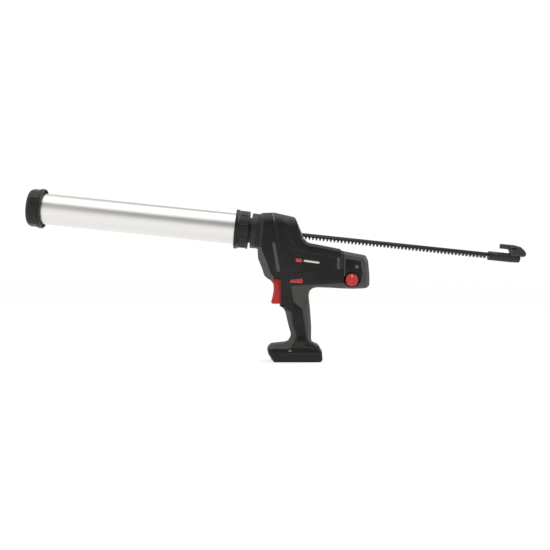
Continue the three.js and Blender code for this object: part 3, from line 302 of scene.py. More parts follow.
# ------------------------------------------------------------------ materials
def look(slot, colour, rough, metal=0.0, specular=0.35, mottle=0.18, patch=260, grain=2600, bump=0.25,
         depth=0.03, streak=None, wear=None):
    """A moulded, cast or turned surface: mottled colour, grain in its bump, varied gloss and worn edges.

    patch and grain are noise scales per metre, depth is the grain's height in millimetres, streak
    stretches the grain along the barrel, and wear is the colour that the edges rub through to.
    """
    material = bpy.data.materials.new(slot + "_look" + str(len(bpy.data.materials)))
    material.use_nodes = True
    nodes, links = material.node_tree.nodes, material.node_tree.links
    shader = nodes["Principled BSDF"]
    shader.inputs["Metallic"].default_value = metal
    shader.inputs["Specular IOR Level"].default_value = specular
    place = nodes.new("ShaderNodeTexCoord")
    stretch = nodes.new("ShaderNodeMapping")
    links.new(place.outputs["Object"], stretch.inputs["Vector"])
    if streak:
        stretch.inputs["Rotation"].default_value = (0, math.atan2(REAR[2], REAR[0]), 0)
        stretch.inputs["Scale"].default_value = streak

    def noise(scale, detail):
        node = nodes.new("ShaderNodeTexNoise")
        node.inputs["Scale"].default_value = scale
        node.inputs["Detail"].default_value = detail
        links.new(stretch.outputs["Vector"], node.inputs["Vector"])
        return node.outputs["Fac"]

    ramp = nodes.new("ShaderNodeValToRGB")
    ramp.color_ramp.elements[0].position = 0.3
    ramp.color_ramp.elements[1].position = 0.7
    ramp.color_ramp.elements[0].color = [c * (1 - mottle) for c in colour] + [1]
    ramp.color_ramp.elements[1].color = [min(1, c * (1 + mottle)) for c in colour] + [1]
    links.new(noise(patch, 5), ramp.inputs["Fac"])
    painted = ramp.outputs["Color"]
    if wear:
        edges = nodes.new("ShaderNodeValToRGB")
        edges.color_ramp.elements[0].position = 0.53
        edges.color_ramp.elements[1].position = 0.60
        edges.color_ramp.elements[1].color = (0.6, 0.6, 0.6, 1)
        links.new(nodes.new("ShaderNodeNewGeometry").outputs["Pointiness"], edges.inputs["Fac"])
        mix = nodes.new("ShaderNodeMix")
        mix.data_type = "RGBA"
        links.new(edges.outputs["Color"], mix.inputs["Factor"])
        links.new(painted, mix.inputs["A"])
        mix.inputs["B"].default_value = list(wear) + [1]
        painted = mix.outputs["Result"]
    links.new(painted, shader.inputs["Base Color"])

    gloss = nodes.new("ShaderNodeMapRange")
    gloss.inputs["To Min"].default_value = rough - 0.07
    gloss.inputs["To Max"].default_value = rough + 0.07
    links.new(noise(patch * 3, 4), gloss.inputs["Value"])
    links.new(gloss.outputs["Result"], shader.inputs["Roughness"])

    bumps = nodes.new("ShaderNodeBump")
    bumps.inputs["Strength"].default_value = bump
    bumps.inputs["Distance"].default_value = depth * MM
    links.new(noise(grain, 3), bumps.inputs["Height"])
    links.new(bumps.outputs["Normal"], shader.inputs["Normal"])
    return {"material": material, "slot": slot}


BARREL_STREAK = (0.02, 1, 1)
BLACK = look("black_plastic", (0.0042, 0.0040, 0.0036), 0.36, specular=0.3, wear=(0.03, 0.03, 0.029))
GLOSS = look("black_plastic", (0.003, 0.003, 0.003), 0.25, specular=0.3, bump=0.1)
# Painted highlight: a black plastic much lighter than BLACK for the nose's front facet, standing in for the
# light that the facet catches.
COLLAR_PAINTED_HIGHLIGHT = look("black_plastic", (0.062, 0.061, 0.058), 0.48, wear=(0.16, 0.16, 0.155))
FRAME = look("black_plastic", (0.048, 0.047, 0.045), 0.42, wear=(0.22, 0.22, 0.215))
RUBBER = look("grey_rubber", (0.058, 0.057, 0.053), 0.60, specular=0.3, mottle=0.1, grain=1700, depth=0.06)
BAR = look("grey_rubber", (0.066, 0.066, 0.063), 0.45, mottle=0.08)
# Painted highlight: a light grey for the thin strip along the ridge at the top of the nose's crease, standing
# in for the light on the ridge's edge.
RIDGE_PAINTED_HIGHLIGHT = look("grey_rubber", (0.2, 0.2, 0.19), 0.45, mottle=0.08)
RED = look("red_plastic", (0.46, 0.018, 0.013), 0.36, mottle=0.12, wear=(0.55, 0.08, 0.06))
BRIGHT_RED = look("red_plastic", (0.52, 0.028, 0.030), 0.34, mottle=0.14, wear=(0.7, 0.14, 0.12))
TUBE = look("satin_aluminium", (0.76, 0.752, 0.73), 0.30, metal=1, mottle=0.025, patch=900, grain=2400,
            depth=0.012, streak=BARREL_STREAK)
NECK = look("neck_metal", (0.012, 0.012, 0.0115), 0.40, wear=(0.06, 0.06, 0.06))
STEEL = look("dark_steel", (0.022, 0.021, 0.020), 0.40, metal=0.4, mottle=0.25, grain=3200,
             wear=(0.22, 0.21, 0.2))
CAST = look("dark_steel", (0.024, 0.023, 0.022), 0.36, metal=0.4, mottle=0.22, grain=1500, depth=0.08,
            wear=(0.25, 0.24, 0.23))
# Painted highlight: a lighter copy of CAST for the hook, standing in for the light it catches from the rear
# and top. Its edges go to a still lighter colour, partly wear and partly painted highlight.
HOOK_PAINTED_HIGHLIGHT = look("dark_steel", (0.042, 0.041, 0.040), 0.32, metal=0.4, mottle=0.22, grain=1500, depth=0.08,
            wear=(0.34, 0.33, 0.32))
BRIGHT = look("bright_steel", (0.6, 0.6, 0.59), 0.26, metal=1, mottle=0.05)
BRASS = look("gear_brass", (0.43, 0.27, 0.07), 0.3, metal=1, mottle=0.08)
WHITE = look("white_plastic", (0.72, 0.71, 0.67), 0.45, mottle=0.04)
GREEN = look("board_green", (0.02, 0.16, 0.06), 0.4, mottle=0.2)
LENS = look("lens_plastic", (0.2, 0.2, 0.18), 0.15, mottle=0.05, bump=0.05)
RING_BLACK = look("black_plastic", (0.0065, 0.0065, 0.0062), 0.33, specular=0.32, mottle=0.15,
                  wear=(0.05, 0.05, 0.05))

# ------------------------------------------------------------------ housing: outline, width and regions
ROUND, FLAT = 1, 0
SEAM_X = 80.5
WIDEST = 34.4  # keeps the skin inside the CAD box
MOUTH_X, MOUTH_LOW, MOUTH_HIGH = -29, 99.6, 142.8
MOUTH_HALF = 9.4
NECK_SPIGOT, NECK_HOLE = 22, 24.4  # radii, of the neck and of the housing's opening for it
# x, z, corner radius, then the rounding or chamfer of the edge that starts there
SIDE = [
    (-61.9, 258.2, 1.5, 24, ROUND),
    (-40.1, 258.8, 4, 24, ROUND),
    (-4.4, 250.8, 5, 6, ROUND),
    (7.4, 223.5, 20, 6, ROUND),
    (10.6, 213.5, 10, 5.5, FLAT),
    (17.7, 206.0, 14, 5.5, FLAT),
    (73.2, 195.0, 2, 4, FLAT),
    (76.2, 192.0, 2, 4, FLAT),
    (SEAM_X, 191.0, 0, 5.5, FLAT),
    (117.8, 183.9, 7, 6, FLAT),
    (121.8, 175.0, 8, 6, FLAT),
    (124.1, 150.0, 60, 6, FLAT),
    (124.1, 131.8, 5, 8, ROUND),
    (118.7, 126.9, 8, 12, ROUND),
    (97.0, 126.0, 60, 12, ROUND),
    (SEAM_X, 126.5, 0, 12, ROUND),
    (57.8, 127.9, 60, 12, ROUND),
    (18.3, 129.3, 16, 14, ROUND),
    (22.8, 90.7, 90, 15, ROUND),
    (25.0, 59.3, 60, 15, ROUND),
    (24.6, 33.6, 9, 9, ROUND),
    (36.5, 29.6, 9, 7, ROUND),
    (42.6, 19.5, 7, 6, ROUND),
    (43.6, 4.2, 4, 6, ROUND),
    (41.0, 0.0, 2, 1.6, ROUND),
    (-40.8, 0.0, 3, 6, ROUND),
    (-50.2, 14.2, 4, 8, ROUND),
    (-52.4, 23.2, 4, 8, ROUND),
    (-46.0, 30.2, 7, 8, ROUND),
    (-16.5, 33.4, 16, 12, ROUND),
    (-10.2, 45.0, 12, 15, ROUND),
    (-14.6, 60.0, 60, 15, ROUND),
    (-20.8, 86.5, 20, 15, ROUND),
    (-24.4, 92.4, 8, 8, ROUND),
    (-31.2, 96.8, 1.5, 3, ROUND),
    (MOUTH_X, MOUTH_LOW, 0, 1.5, ROUND),
    (MOUTH_X, MOUTH_HIGH, 0, 2, ROUND),
    (-50.2, MOUTH_HIGH, 3, 3, ROUND),
    (-57.1, 148.9, 5, 3, ROUND),
    (-62.0, 164.0, 20, 3, ROUND),
    (-67.9, 178.3, 6, 2.5, ROUND),
    (-68.7, 193.6, 6, 2, ROUND),
]

# height, half width
GRIP_COLUMN = [(0, 32), (20, 32), (24, 31), (27, 28.8), (30.5, 25), (35, 21.6), (41, 19.3), (50, 18.2),
               (60, 17.9), (82, 18.6), (104, 18), (118, 18.8), (128, 21.5), (136, 24.2), (143, 25.2),
               (152, 28.6), (164, 31.8), (172, 32.5), (262, 32.5)]
ARM_HALF = 30
CREASE = [(-42, 260), (-37, 225), (-33, 204), (-23.5, 160), (-18.5, 138), (-11.7, 101), (-9, 86)]
SHEEN_BAND = [(-23, 246), (-3, 199)]
PANEL = rounded([(-13, 196, 3), (64, 180.5, 2), (65, 160, 2), (-6, 152.5, 3)])
LOCK = [(-12.6, 141.8), (9.2, 144.3), (9.2, 135.8), (-12.6, 137.3)]
BASE_SEAM = [(-15, 23.2), (46, 21.5)]
SLOTS, SLOT_TOP, SLOT_FOOT = (86.5, 90.5, 94.5), 175, 165
BAY_FRONT, BATTERY_END, BAY_ROOF = -40.5, 34, 14
BATTERY_HALF, RAIL_TOP = 20, 4
GROOVE_HALF, GROOVE_TOP = 26, 10
SCREWS = [(-43.5, 249.0), (62.0, 190.0), (12.0, 95.0), (9.0, 43.0)]
# A screw well's radius and wall, its floor's y, and how far its mouth lies under the skin.
WELL_R, WELL_WALL, WELL_FLOOR, WELL_SUNK = 3.6, 0.9, 10.7, 0.3
WELL_RINGS = [ring(x, z, WELL_R, 20) for x, z in SCREWS]

# First match wins. A well or a window has no piece, so it is left open.
REGIONS = {
    "lock_window": LOCK,
    "dial_well": ring(DIAL_X, DIAL_Z, DIAL_R + 0.4),
    "dial_bezel": ring(DIAL_X, DIAL_Z, DIAL_R + 3.2),
    "nose_bar": rounded([(-43.6, 205.5, 1), (-38.4, 205.5, 1), (-29.6, 155.8, 1), (-35.4, 155.8, 1)], 3),
    "arm_bar": rounded([(68, 180.6, 1), (73, 179.6, 1), (73, 159.4, 1), (68, 160, 1)], 3),
    "accent_red": rounded([(-2.5, 178.6, 1.2), (7.5, 177.2, 1.2), (7, 171.6, 1.2), (-3, 173, 1.2)], 3),
    "accent_light": rounded([(11, 176.1, 1.2), (38, 172.4, 1.2), (37.6, 169.4, 1.2), (10.6, 173, 1.2)], 3),
    "cap_recess": rounded([(81.7, 178.4, 1), (109, 173.9, 4), (112, 152, 6), (108, 136.4, 3),
                           (81.7, 136.6, 1)]),
    "cap_frame": [(SEAM_X, 230), (150, 230), (150, 100), (SEAM_X, 100)],
    # A painted highlight: a light strip along the ridge at the top of the crease.
    "nose_ridge_highlight": [(-43.3, 257.6), (-41.6, 257.4), (-38.9, 243.6), (-40.4, 243.8)],
    "collar": [(-80, 200), (-62, 197), (-61, 192), (-53, 172.7), (-46, 152), (-41.5, 147.2), (-41.5, 138),
               (-80, 138)],
    "collar_top": [(-80, 270), (-57.2, 270), (-62, 197), (-80, 200)],
    "arm_rib": [(75.4, 210), (78.8, 210), (78.8, 160), (75.4, 160)],
    "rubber_rear": [(-11.4, 131.6), (SEAM_X, 136.7), (SEAM_X, 112), (40, 108), (46, 40), (26, 36), (16.4, 38),
                    (14.7, 50), (10.3, 80), (8.7, 91.4), (-6.3, 103.5)],
    "rubber_front": [(-36, 104), (-31.4, 96.6), (-22.4, 90.9), (-10.4, 86.4), (-6.3, 60.3), (-1.6, 46.2),
                     (-6, 33), (-13, 23.2), (-60, 23.2), (-60, 104)],
    "base_block": [(-70, 14.2), (60, 14.2), (60, -9), (-70, -9)],
}
RISE = {"rubber_rear": 0.55, "rubber_front": 0.55, "nose_bar": -0.5, "arm_bar": -0.4, "dial_bezel": 1.4,
        "accent_red": 0.25, "accent_light": 0.25, "collar": 0.2, "collar_top": 0.2, "nose_ridge_highlight": 0.15,
        "arm_rib": 0.9}
GROOVE = 0.5


def width_field(x, z):
    """The housing's half width away from its edges."""
    column = curve(z, GRIP_COLUMN)
    onto_arm = smooth((x - 10) / 24) * smooth((z - 112) / 6)
    nose_to_arm = smooth((x + 14) / 36) * smooth((z - 146) / 14)
    return column + (ARM_HALF - column) * np.maximum(onto_arm, nose_to_arm)


def edge_drop(points, starts, ends, size, style):
    """How far the wall has come in where the outline's edges are rounded or chamfered."""

    def drops(some):
        depth = np.clip(size - distances(some, starts, ends), 0, None)
        curved = size - np.sqrt(np.maximum(size**2 - depth**2, 0))
        return np.where(style == ROUND, curved, depth).max(1)

    return in_blocks(points, drops)


def relief(x, z, points):
    """Ridges, steps and recesses on the housing's side, outwards positive."""
    ahead = line_x(CREASE, z) - x
    high = smooth((z - 84) / 10)
    out = -1.1 * smooth(ahead / 1.4) * high
    out += 0.7 * np.exp(-(((ahead + 1.5) / 1.1) ** 2)) * high
    across = x - line_x(SHEEN_BAND, z)
    fade = smooth((z - 196) / 14) * smooth((250 - z) / 12)
    out += (1.5 * np.exp(-((across / 4) ** 2)) - 0.12 * np.clip(across, 0, 12)) * fade
    slope = nearest(points, REGIONS["collar"]) * inside(points, REGIONS["collar"]) * (z < 193)
    out -= 0.62 * slope
    out -= 1.1 * smooth(signed(points, PANEL) / 1.6 + 0.2)
    ridge = nearest(points, [(-12, 198.6), (34, 187.6)], closed=False)
    out += 0.7 * np.exp(-((ridge / 1.6) ** 2))
    out -= 1.2 * smooth((137.5 - z) / 9) * (x > 30) * smooth((x - 24) / 20)
    out -= 0.9 * smooth((15.0 - z) / 1.6)
    seam = nearest(points, BASE_SEAM, closed=False)
    out -= 0.5 * np.exp(-((seam / 0.5) ** 2)) * (x > -13)
    in_cap = signed(points, REGIONS["cap_recess"])
    out -= 1.3 * smooth(in_cap / 1.4 + 0.1)
    for slot_x in SLOTS:
        slot = nearest(points, [(slot_x, SLOT_TOP - 0.16 * (slot_x - 86)), (slot_x, SLOT_FOOT)], closed=False)
        out -= 1.2 * smooth((1.2 - slot) / 0.6)
    return out


def rim_depth(x, z):
    """How near to the middle plane the housing's edge wall comes. It stops short at every opening."""
    low = np.full(len(x), 0.15)
    mouth = (np.abs(x - MOUTH_X) < 0.6) & (z > MOUTH_LOW - 0.1) & (z < MOUTH_HIGH + 0.1)
    mouth |= (np.abs(z - MOUTH_HIGH) < 0.3) & (x > -50.4) & (x < MOUTH_X + 0.1)
    low[mouth] = MOUTH_HALF
    s = (x - AXIS_START[0]) * REAR[0] + (z - AXIS_START[2]) * REAR[2]
    h = (x - AXIS_START[0]) * UP[0] + (z - AXIS_START[2]) * UP[2]
    neck = (s < -60) & (np.abs(h) < NECK_HOLE)
    low[neck] = np.sqrt(NECK_HOLE**2 - h[neck] ** 2)
    low[(s > -8) & (s < 16) & (np.abs(h) < 6.5) & (z > 205)] = 6
    slot = (z < BAY_ROOF) & (x < BATTERY_END)
    low[slot] = BATTERY_HALF
    low[slot & (z > RAIL_TOP) & (z < GROOVE_TOP) & (x < -30)] = GROOVE_HALF
    return low


class Scatter:
    """Points that each keep their distance from the ones before."""

    def __init__(self):
        self.cells, self.points = {}, []

    def add(self, u, v, spacing):
        """Adds a point, unless another one lies within spacing of it."""
        home = (int(u // 2), int(v // 2))
        for i in (-1, 0, 1):
            for j in (-1, 0, 1):
                for p, q in self.cells.get((home[0] + i, home[1] + j), ()):
                    if (p - u) ** 2 + (q - v) ** 2 < spacing**2:
                        return
        self.cells.setdefault(home, []).append((u, v))
        self.points.append((u, v))


def offset(line, distance, closed):
    """Points beside a line, at a distance to its left."""
    starts, ends = segments(line, closed)
    along = ends - starts
    length = np.maximum(np.linalg.norm(along, axis=1), 1e-9)
    normal = np.stack([-along[:, 1], along[:, 0]], 1) / length[:, None]
    return (starts + ends) / 2 + normal * distance


def triangulate(outline, lines, rings, grid):
    """A fine triangle plan of an outline. lines are (points, closed, offsets) that its edges follow.

    rings are the distances from the outline, and grid the spacing elsewhere, of its other points.
    """
    fixed, edges = [], []
    for line, closed, _ in [(outline, True, ())] + lines:
        first = len(fixed)
        fixed += line
        edges += [(first + i, first + i + 1) for i in range(len(line) - 1)]
        if closed:
            edges.append((len(fixed) - 1, first))
    beside = [offset(outline, side * gap, True) for gap in rings for side in (-1, 1)]
    for line, closed, gaps in lines:
        beside += [offset(line, side * gap, closed) for gap in gaps for side in (-1, 1)]
    beside = np.concatenate(beside)
    low, high = np.array(outline).min(0), np.array(outline).max(0)
    rows = np.arange(low[1], high[1], grid * 0.866)
    columns = np.arange(low[0], high[0], grid)
    spread = np.array([(u + grid / 2 * (k % 2), v) for k, v in enumerate(rows) for u in columns])
    starts = np.array([fixed[a] for a, _ in edges])
    ends = np.array([fixed[b] for _, b in edges])
    scatter = Scatter()
    for loose, gap, spacing in ((beside, 0.16, 0.4), (spread, 0.9, grid * 0.55)):
        loose = loose[inside(loose, outline)]
        clear = in_blocks(loose, lambda some: distances(some, starts, ends).min(1))
        for (u, v), space in zip(loose, clear):
            if space > gap:
                scatter.add(u, v, min(spacing, max(0.4, space * 0.8)))
    points = [Vector(p) for p in fixed + scatter.points]
    found, _, triangles, *_ = geometry.delaunay_2d_cdt(points, edges, [], 0, 1e-4)
    spots = np.array([tuple(p) for p in found])
    triangles = np.array(triangles)
    middles = spots[triangles].mean(1)
    return spots, triangles[inside(middles, outline)]


def wall(triangles):
    """The directed outside edges of some triangles."""
    pairs = np.concatenate([triangles[:, [0, 1]], triangles[:, [1, 2]], triangles[:, [2, 0]]])
    known = set(map(tuple, pairs.tolist()))
    return [(a, b) for a, b in known if (b, a) not in known]


def sheet_side(spots, triangles, half, side, rim, rim_low):
    """One side of a relief: its triangles at y = side * half, and the edge walls of the rim edges."""
    points = np.stack([spots[:, 0], side * half, spots[:, 1]], 1)
    used, where = np.unique(triangles, return_inverse=True)
    faces = where.reshape(-1, 3)
    number = {old: new for new, old in enumerate(used)}
    points = points[used].tolist()
    faces = [tuple(face) for face in faces.tolist()]
    lower = {}
    for a, b in rim:
        for corner in (a, b):
            if corner not in lower:
                lower[corner] = len(points)
                x, z = spots[corner]
                points.append([x, side * min(rim_low[corner], half[corner]), z])
        faces.append((number[b], number[a], lower[a], lower[b]))
    if side > 0:
        faces = [face[::-1] for face in faces]
    return points, faces


# Region: its piece's name and finish. Each is made once for the left and once for the right.
PIECES = {
    "shell": ("housing", BLACK),
    # The collar's finish is a painted highlight on the nose's front facet.
    "collar": ("nose_collar", COLLAR_PAINTED_HIGHLIGHT),
    "collar_top": ("nose_collar_top", NECK),
    "arm_rib": ("arm_rib", NECK),
    "rubber_rear": ("grip_rubber", RUBBER),
    "rubber_front": ("front_rubber", RUBBER),
    "base_block": ("base_block", BLACK),
    "nose_bar": ("nose_bar", BAR),
    # A painted highlight along the crease's ridge.
    "nose_ridge_highlight": ("nose_ridge_highlight", RIDGE_PAINTED_HIGHLIGHT),
    "arm_bar": ("arm_bar", BAR),
    "accent_red": ("accent_red", BRIGHT_RED),
    "accent_light": ("accent_light", WHITE),
}
# Region: the CAD node that its piece stands for, left and right.
STANDS_FOR = {"shell": "housing", "rubber_rear": "grip_pad"}
# Region: its piece's name and finish, and the CAD nodes it stands for. Both sides are one piece.
CAP_PIECES = {
    "cap_frame": ("rear_cap_frame", FRAME, ("rear_cap",)),
    "cap_recess": ("rear_cap_recess", BLACK, ()),
    "dial_bezel": ("dial_bezel", GLOSS, ()),
}


def build_housing():
    """The housing's skin, a piece for each region. Returns its plan's points and their half widths."""
    corners = [(x, z, radius) for x, z, radius, _, _ in SIDE]
    outline = fine(rounded(corners), 2.2)
    starts, ends = segments(outline)
    raw_starts, raw_ends = segments([corner[:2] for corner in corners])
    middles = (starts + ends) / 2
    owner = distances(middles, raw_starts, raw_ends).argmin(1)
    size = np.array([corner[3] for corner in SIDE], float)[owner]
    style = np.array([corner[4] for corner in SIDE])[owner]

    borders = [fine(line, 1.6) for line in REGIONS.values()]
    lines = [(line, True, (0.3, 0.7, 1.3)) for line in borders + WELL_RINGS]
    lines.append((fine(CREASE, 2, False), False, (0.5, 1, 1.5, 2.2)))
    lines.append((fine(PANEL, 2), True, (0.4, 0.9, 1.4)))
    lines.append((fine(BASE_SEAM, 2, False), False, (0.3, 0.7)))
    for slot_x in SLOTS:
        slot = fine([(slot_x, SLOT_TOP), (slot_x, SLOT_FOOT)], 1.5, False)
        lines.append((slot, False, (0.6, 1.2)))
    spots, triangles = triangulate(outline, lines, (0.35, 1.1, 2.3, 4, 6.2, 9, 12.5, 17), 2.4)

    x, z = spots.T
    half = width_field(x, z) - edge_drop(spots, starts, ends, size, style)
    half += relief(x, z, spots)
    at_edge = nearest(spots, outline) < 0.02
    rim_low = rim_depth(x, z)
    centres = spots[triangles].mean(1)
    near_border = np.min([nearest(spots, line) for line in borders], axis=0)
    groove = GROOVE * (1 - shoulder(near_border / 0.55))
    cap_sides = {name: [] for name in CAP_PIECES}

    for side, hand in ((-1, "left"), (1, "right")):
        region = np.full(len(triangles), "shell", dtype=object)
        for name, line in reversed(REGIONS.items()):
            if side < 0 or not name.startswith("dial"):
                region[inside(centres, line)] = name
        if side > 0:
            for line in WELL_RINGS:
                region[inside(centres, line)] = "screw_well"
        for name in [*PIECES, *CAP_PIECES]:
            keep = region == name
            if not keep.any():
                continue
            level = half + RISE.get(name, 0) * shoulder(near_border / 1.1) - groove
            level = np.clip(level, 0.4, WIDEST)
            rim = [(a, b) for a, b in wall(triangles[keep]) if at_edge[a] and at_edge[b]]
            low = np.zeros(len(spots)) if name in CAP_PIECES else rim_low
            points, faces = sheet_side(spots, triangles[keep], level, side, rim, low)
            if name in CAP_PIECES:
                cap_sides[name].append((points, faces))
                continue
            title, finish = PIECES[name]
            stands = (STANDS_FOR[name] + "_" + hand,) if name in STANDS_FOR else ()
            piece = put(title + "_" + hand, points, faces, finish, "gun", stands, weld=False)
            thicken(piece, 1.0 if name.startswith("accent") else 2.0)
    for name, (title, finish, stands) in CAP_PIECES.items():
        thicken(put(title, *joined(cap_sides[name]), finish, "gun", stands), 2.0)
    return spots, half


def build_battery_bay():
    """The channel in the foot that a battery slides into, with its two rail grooves."""
    skin, foot = 1.2, 0.2
    half = [(BATTERY_HALF, foot), (BATTERY_HALF, RAIL_TOP), (GROOVE_HALF, RAIL_TOP),
            (GROOVE_HALF, GROOVE_TOP), (BATTERY_HALF, GROOVE_TOP), (BATTERY_HALF, BAY_ROOF)]
    outer = [(GROOVE_HALF + skin, foot), (GROOVE_HALF + skin, BAY_ROOF + skin)]
    inner = half + [(-y, z) for y, z in reversed(half)]
    around = outer + [(-y, z) for y, z in reversed(outer)]
    outline = inner + list(reversed(around))
    points, faces = prism(outline, BAY_FRONT, BATTERY_END, ALONG_X)
    soften(put("battery_bay", points, faces, BLACK, "gun"), 0.3)
    end = [(-GROOVE_HALF, 0.4), (GROOVE_HALF, 0.4), (GROOVE_HALF, BAY_ROOF), (-GROOVE_HALF, BAY_ROOF)]
    points, faces = prism(end, BATTERY_END, BATTERY_END + skin, ALONG_X)
    soften(put("battery_bay_end", points, faces, BLACK, "gun"), 0.3)


def build_screw_wells(spots, half):
    """A tube down to each housing screw, its mouth cut just under the housing's skin."""
    outer = WELL_R + WELL_WALL
    profile = [(WELL_FLOOR, WELL_R), (WELL_FLOOR, outer), (WIDEST, outer), (WIDEST, WELL_R)]
    points, faces = lathe(profile, 24)
    for number, (x, z) in enumerate(SCREWS, 1):
        cut = []
        for s, y, h in points:
            skin = half[np.hypot(spots[:, 0] - x - h, spots[:, 1] - z - y).argmin()]
            cut.append((x + h, min(s, skin - WELL_SUNK), z + y))
        put(f"screw_well_{number}", cut, faces, BLACK, "gun")


def build_vents():
    """Louvres across the rear cap's back wall."""
    lowest, pitch, width, tall, corner = 140.4, 6.4, 16, 3.4, 1.6
    back_wall = [(131, 124.1), (150, 124.1), (175, 121.8)]
    for number in range(5):
        low = lowest + pitch * number
        high = low + tall
        back = float(curve(np.array([low + tall / 2]), back_wall)[0])
        ends = [(-width, low), (width, low), (width, high), (-width, high)]
        bar = rounded([(y, z, corner) for y, z in ends], 4)
        points, faces = prism(bar, back - 1.2, back + 1.1, ALONG_X)
        soften(put(f"cap_vent_{number + 1}", points, faces, BLACK, "gun"), 0.5, 3)


# ------------------------------------------------------------------ trigger, lock and dial
def relief_solid(name, corners, half_at, finish, body, replaces, place, grid, extra=()):
    """A closed body, alike on both sides of y = 0, from an outline and a half-width formula.

    corners are (u, v, corner radius, edge rounding), and extra are lines that its edges follow.
    """
    outline = fine(rounded([corner[:3] for corner in corners]), 1.2)
    starts, ends = segments(outline)
    raw = segments([corner[:2] for corner in corners])
    owner = distances((starts + ends) / 2, *raw).argmin(1)
    size = np.array([corner[3] for corner in corners], float)[owner]
    lines = [(fine(list(line), 1.0), True, (0.3, 0.7)) for line in extra]
    spots, triangles = triangulate(outline, lines, (0.15, 0.5, 1.1, 2, 3.2, 4.6), grid)
    half = np.maximum(half_at(spots) - edge_drop(spots, starts, ends, size, ROUND), 0)
    rim = wall(triangles)
    low = np.zeros(len(spots))
    points, faces = joined([sheet_side(spots, triangles, half, side, rim, low) for side in (-1, 1)])
    put(name, points, faces, finish, body, replaces, place)


def build_trigger():
    """The trigger blade, hollowed a little at the front for the finger."""
    rear, low, high = -25.6, 99.7, 143.6
    corners = [(-51.1, high, 1.2, 3), (-45.8, 140.2, 5, 5), (-41.6, 134.4, 9, 5), (-40.9, 125, 20, 5),
               (-42.8, 113, 20, 5), (-45.6, 102.6, 2, 4), (-43.4, low, 1.5, 2), (rear, low, 0, 1),
               (rear, high, 0, 1)]

    def half_at(spots):
        x, z = spots.T
        finger = 0.35 * np.exp(-(((z - 122) / 9) ** 2)) * smooth((-33 - x) / 8)
        return 9 - 0.5 * smooth((-34 - x) / 1.2) - finger

    relief_solid("trigger_blade", corners, half_at, RED, "trigger", ("trigger",), in_housing, 1.5)


def build_lock():
    """The wedge-shaped lock button, as wide as its CAD node."""
    low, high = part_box("lock_button")
    wedge = rounded([(-12.3, 141.4, 0.7), (8.8, 143.9, 0.7), (8.8, 136.2, 0.7), (-12.3, 137.7, 0.7)], 3)
    points, faces = prism(wedge, low.y / MM, high.y / MM, ALONG_Y)
    soften(put("lock_wedge", points, faces, BRIGHT_RED, "lock_button", ("lock_button",)), 0.6, 3)


def build_dial():
    """The knurled speed dial, with a white mark on its face."""
    low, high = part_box("speed_dial")
    face, back = low.y / MM, high.y / MM
    knurls, waves, stem = 30, 0.22, 6
    profile = [(back, 0), (back, stem), (face + 5, stem), (face + 5, DIAL_R), (face + 0.9, DIAL_R),
               (face + 0.25, DIAL_R - 0.35), (face, DIAL_R - 1.1), (face + 0.1, DIAL_R - 1.9),
               (face + 0.75, DIAL_R - 2.6), (face + 0.85, 4.6), (face + 0.3, 3.9), (face + 0.15, 0)]

    def shape(y, radius, angle):
        grip = waves * (math.cos(knurls * angle) - 1) if radius > DIAL_R - 0.5 else 0
        return radius + grip

    points, faces = lathe(profile, 180, shape)
    spots = [(DIAL_X + h, s, DIAL_Z + y) for s, y, h in points]
    put("dial_knob", spots, faces, BRIGHT_RED, "speed_dial", ("speed_dial",), crease=40)
    mark = rounded([(-0.6, 4.8, 0.4), (0.6, 4.8, 0.4), (0.6, 8.2, 0.4), (-0.6, 8.2, 0.4)], 3)
    points, faces = prism([(DIAL_X + u, DIAL_Z + v) for u, v in mark], face + 0.35, face + 1.2, ALONG_Y)
    put("dial_mark", points, faces, WHITE, "speed_dial")


# ------------------------------------------------------------------ barrel, cap, nut and neck
def build_tube():
    """The plain barrel tube, with a bore."""
    front, rear, radius = barrel_span("barrel_tube")
    bore = radius - 1.5
    edge = [(rear, bore, 0.3), (rear, radius, 0.5), (front, radius, 0.5), (front, bore, 0.3)]
    profile = fine(rounded(edge, 3), 12)
    points, faces = lathe(profile, 160)
    put("tube", points, faces, TUBE, "gun", ("barrel_tube",), in_barrel, crease=50)


def facets(angle, count, flat):
    """How far a ring's surface lies under its full radius, for shallow facets with soft corners."""
    turn = 2 * math.pi / count
    place = abs((angle / turn) % 1 - 0.5) * 2
    return flat * smooth((0.86 - place) / 0.10)


def build_cap():
    """The front cap: a faceted band, a rim at its rear and the hole for a nozzle."""
    front, rear, flange = barrel_span("front_cap")
    band = flange - 1.7
    bore = barrel_span("barrel_tube")[2] + 0.4
    mouth = 12
    edge = [(front, mouth, 0.5), (front, band - 3.2, 1), (front + 3.4, band, 5), (rear - 6.9, band, 0.4),
            (rear - 6.3, flange, 0.8), (rear - 4.2, flange, 0.5), (rear - 3.7, flange - 0.7, 0.3),
            (rear - 3.2, flange, 0.5), (rear, flange, 0.9), (rear, flange - 2.2, 0.6),
            (rear - 4.4, flange - 3.2, 0.8), (rear - 4.4, bore, 0.3), (front + 5.7, bore, 0.4),
            (front + 5.7, mouth, 0.4)]
    profile = fine(rounded(edge, 4), 1.2)
    band_low, band_high = front + 1.2, rear - 6.9

    def shape(s, radius, angle):
        if radius <= band - 4 or not band_low < s < band_high:
            return radius
        return radius - facets(angle, 12, 0.7) * smooth((s - front - 1.2) / 3)

    points, faces = lathe(profile, 240, shape)
    put("nozzle_cap", points, faces, RING_BLACK, "front_cap", ("front_cap",), in_barrel, crease=38)


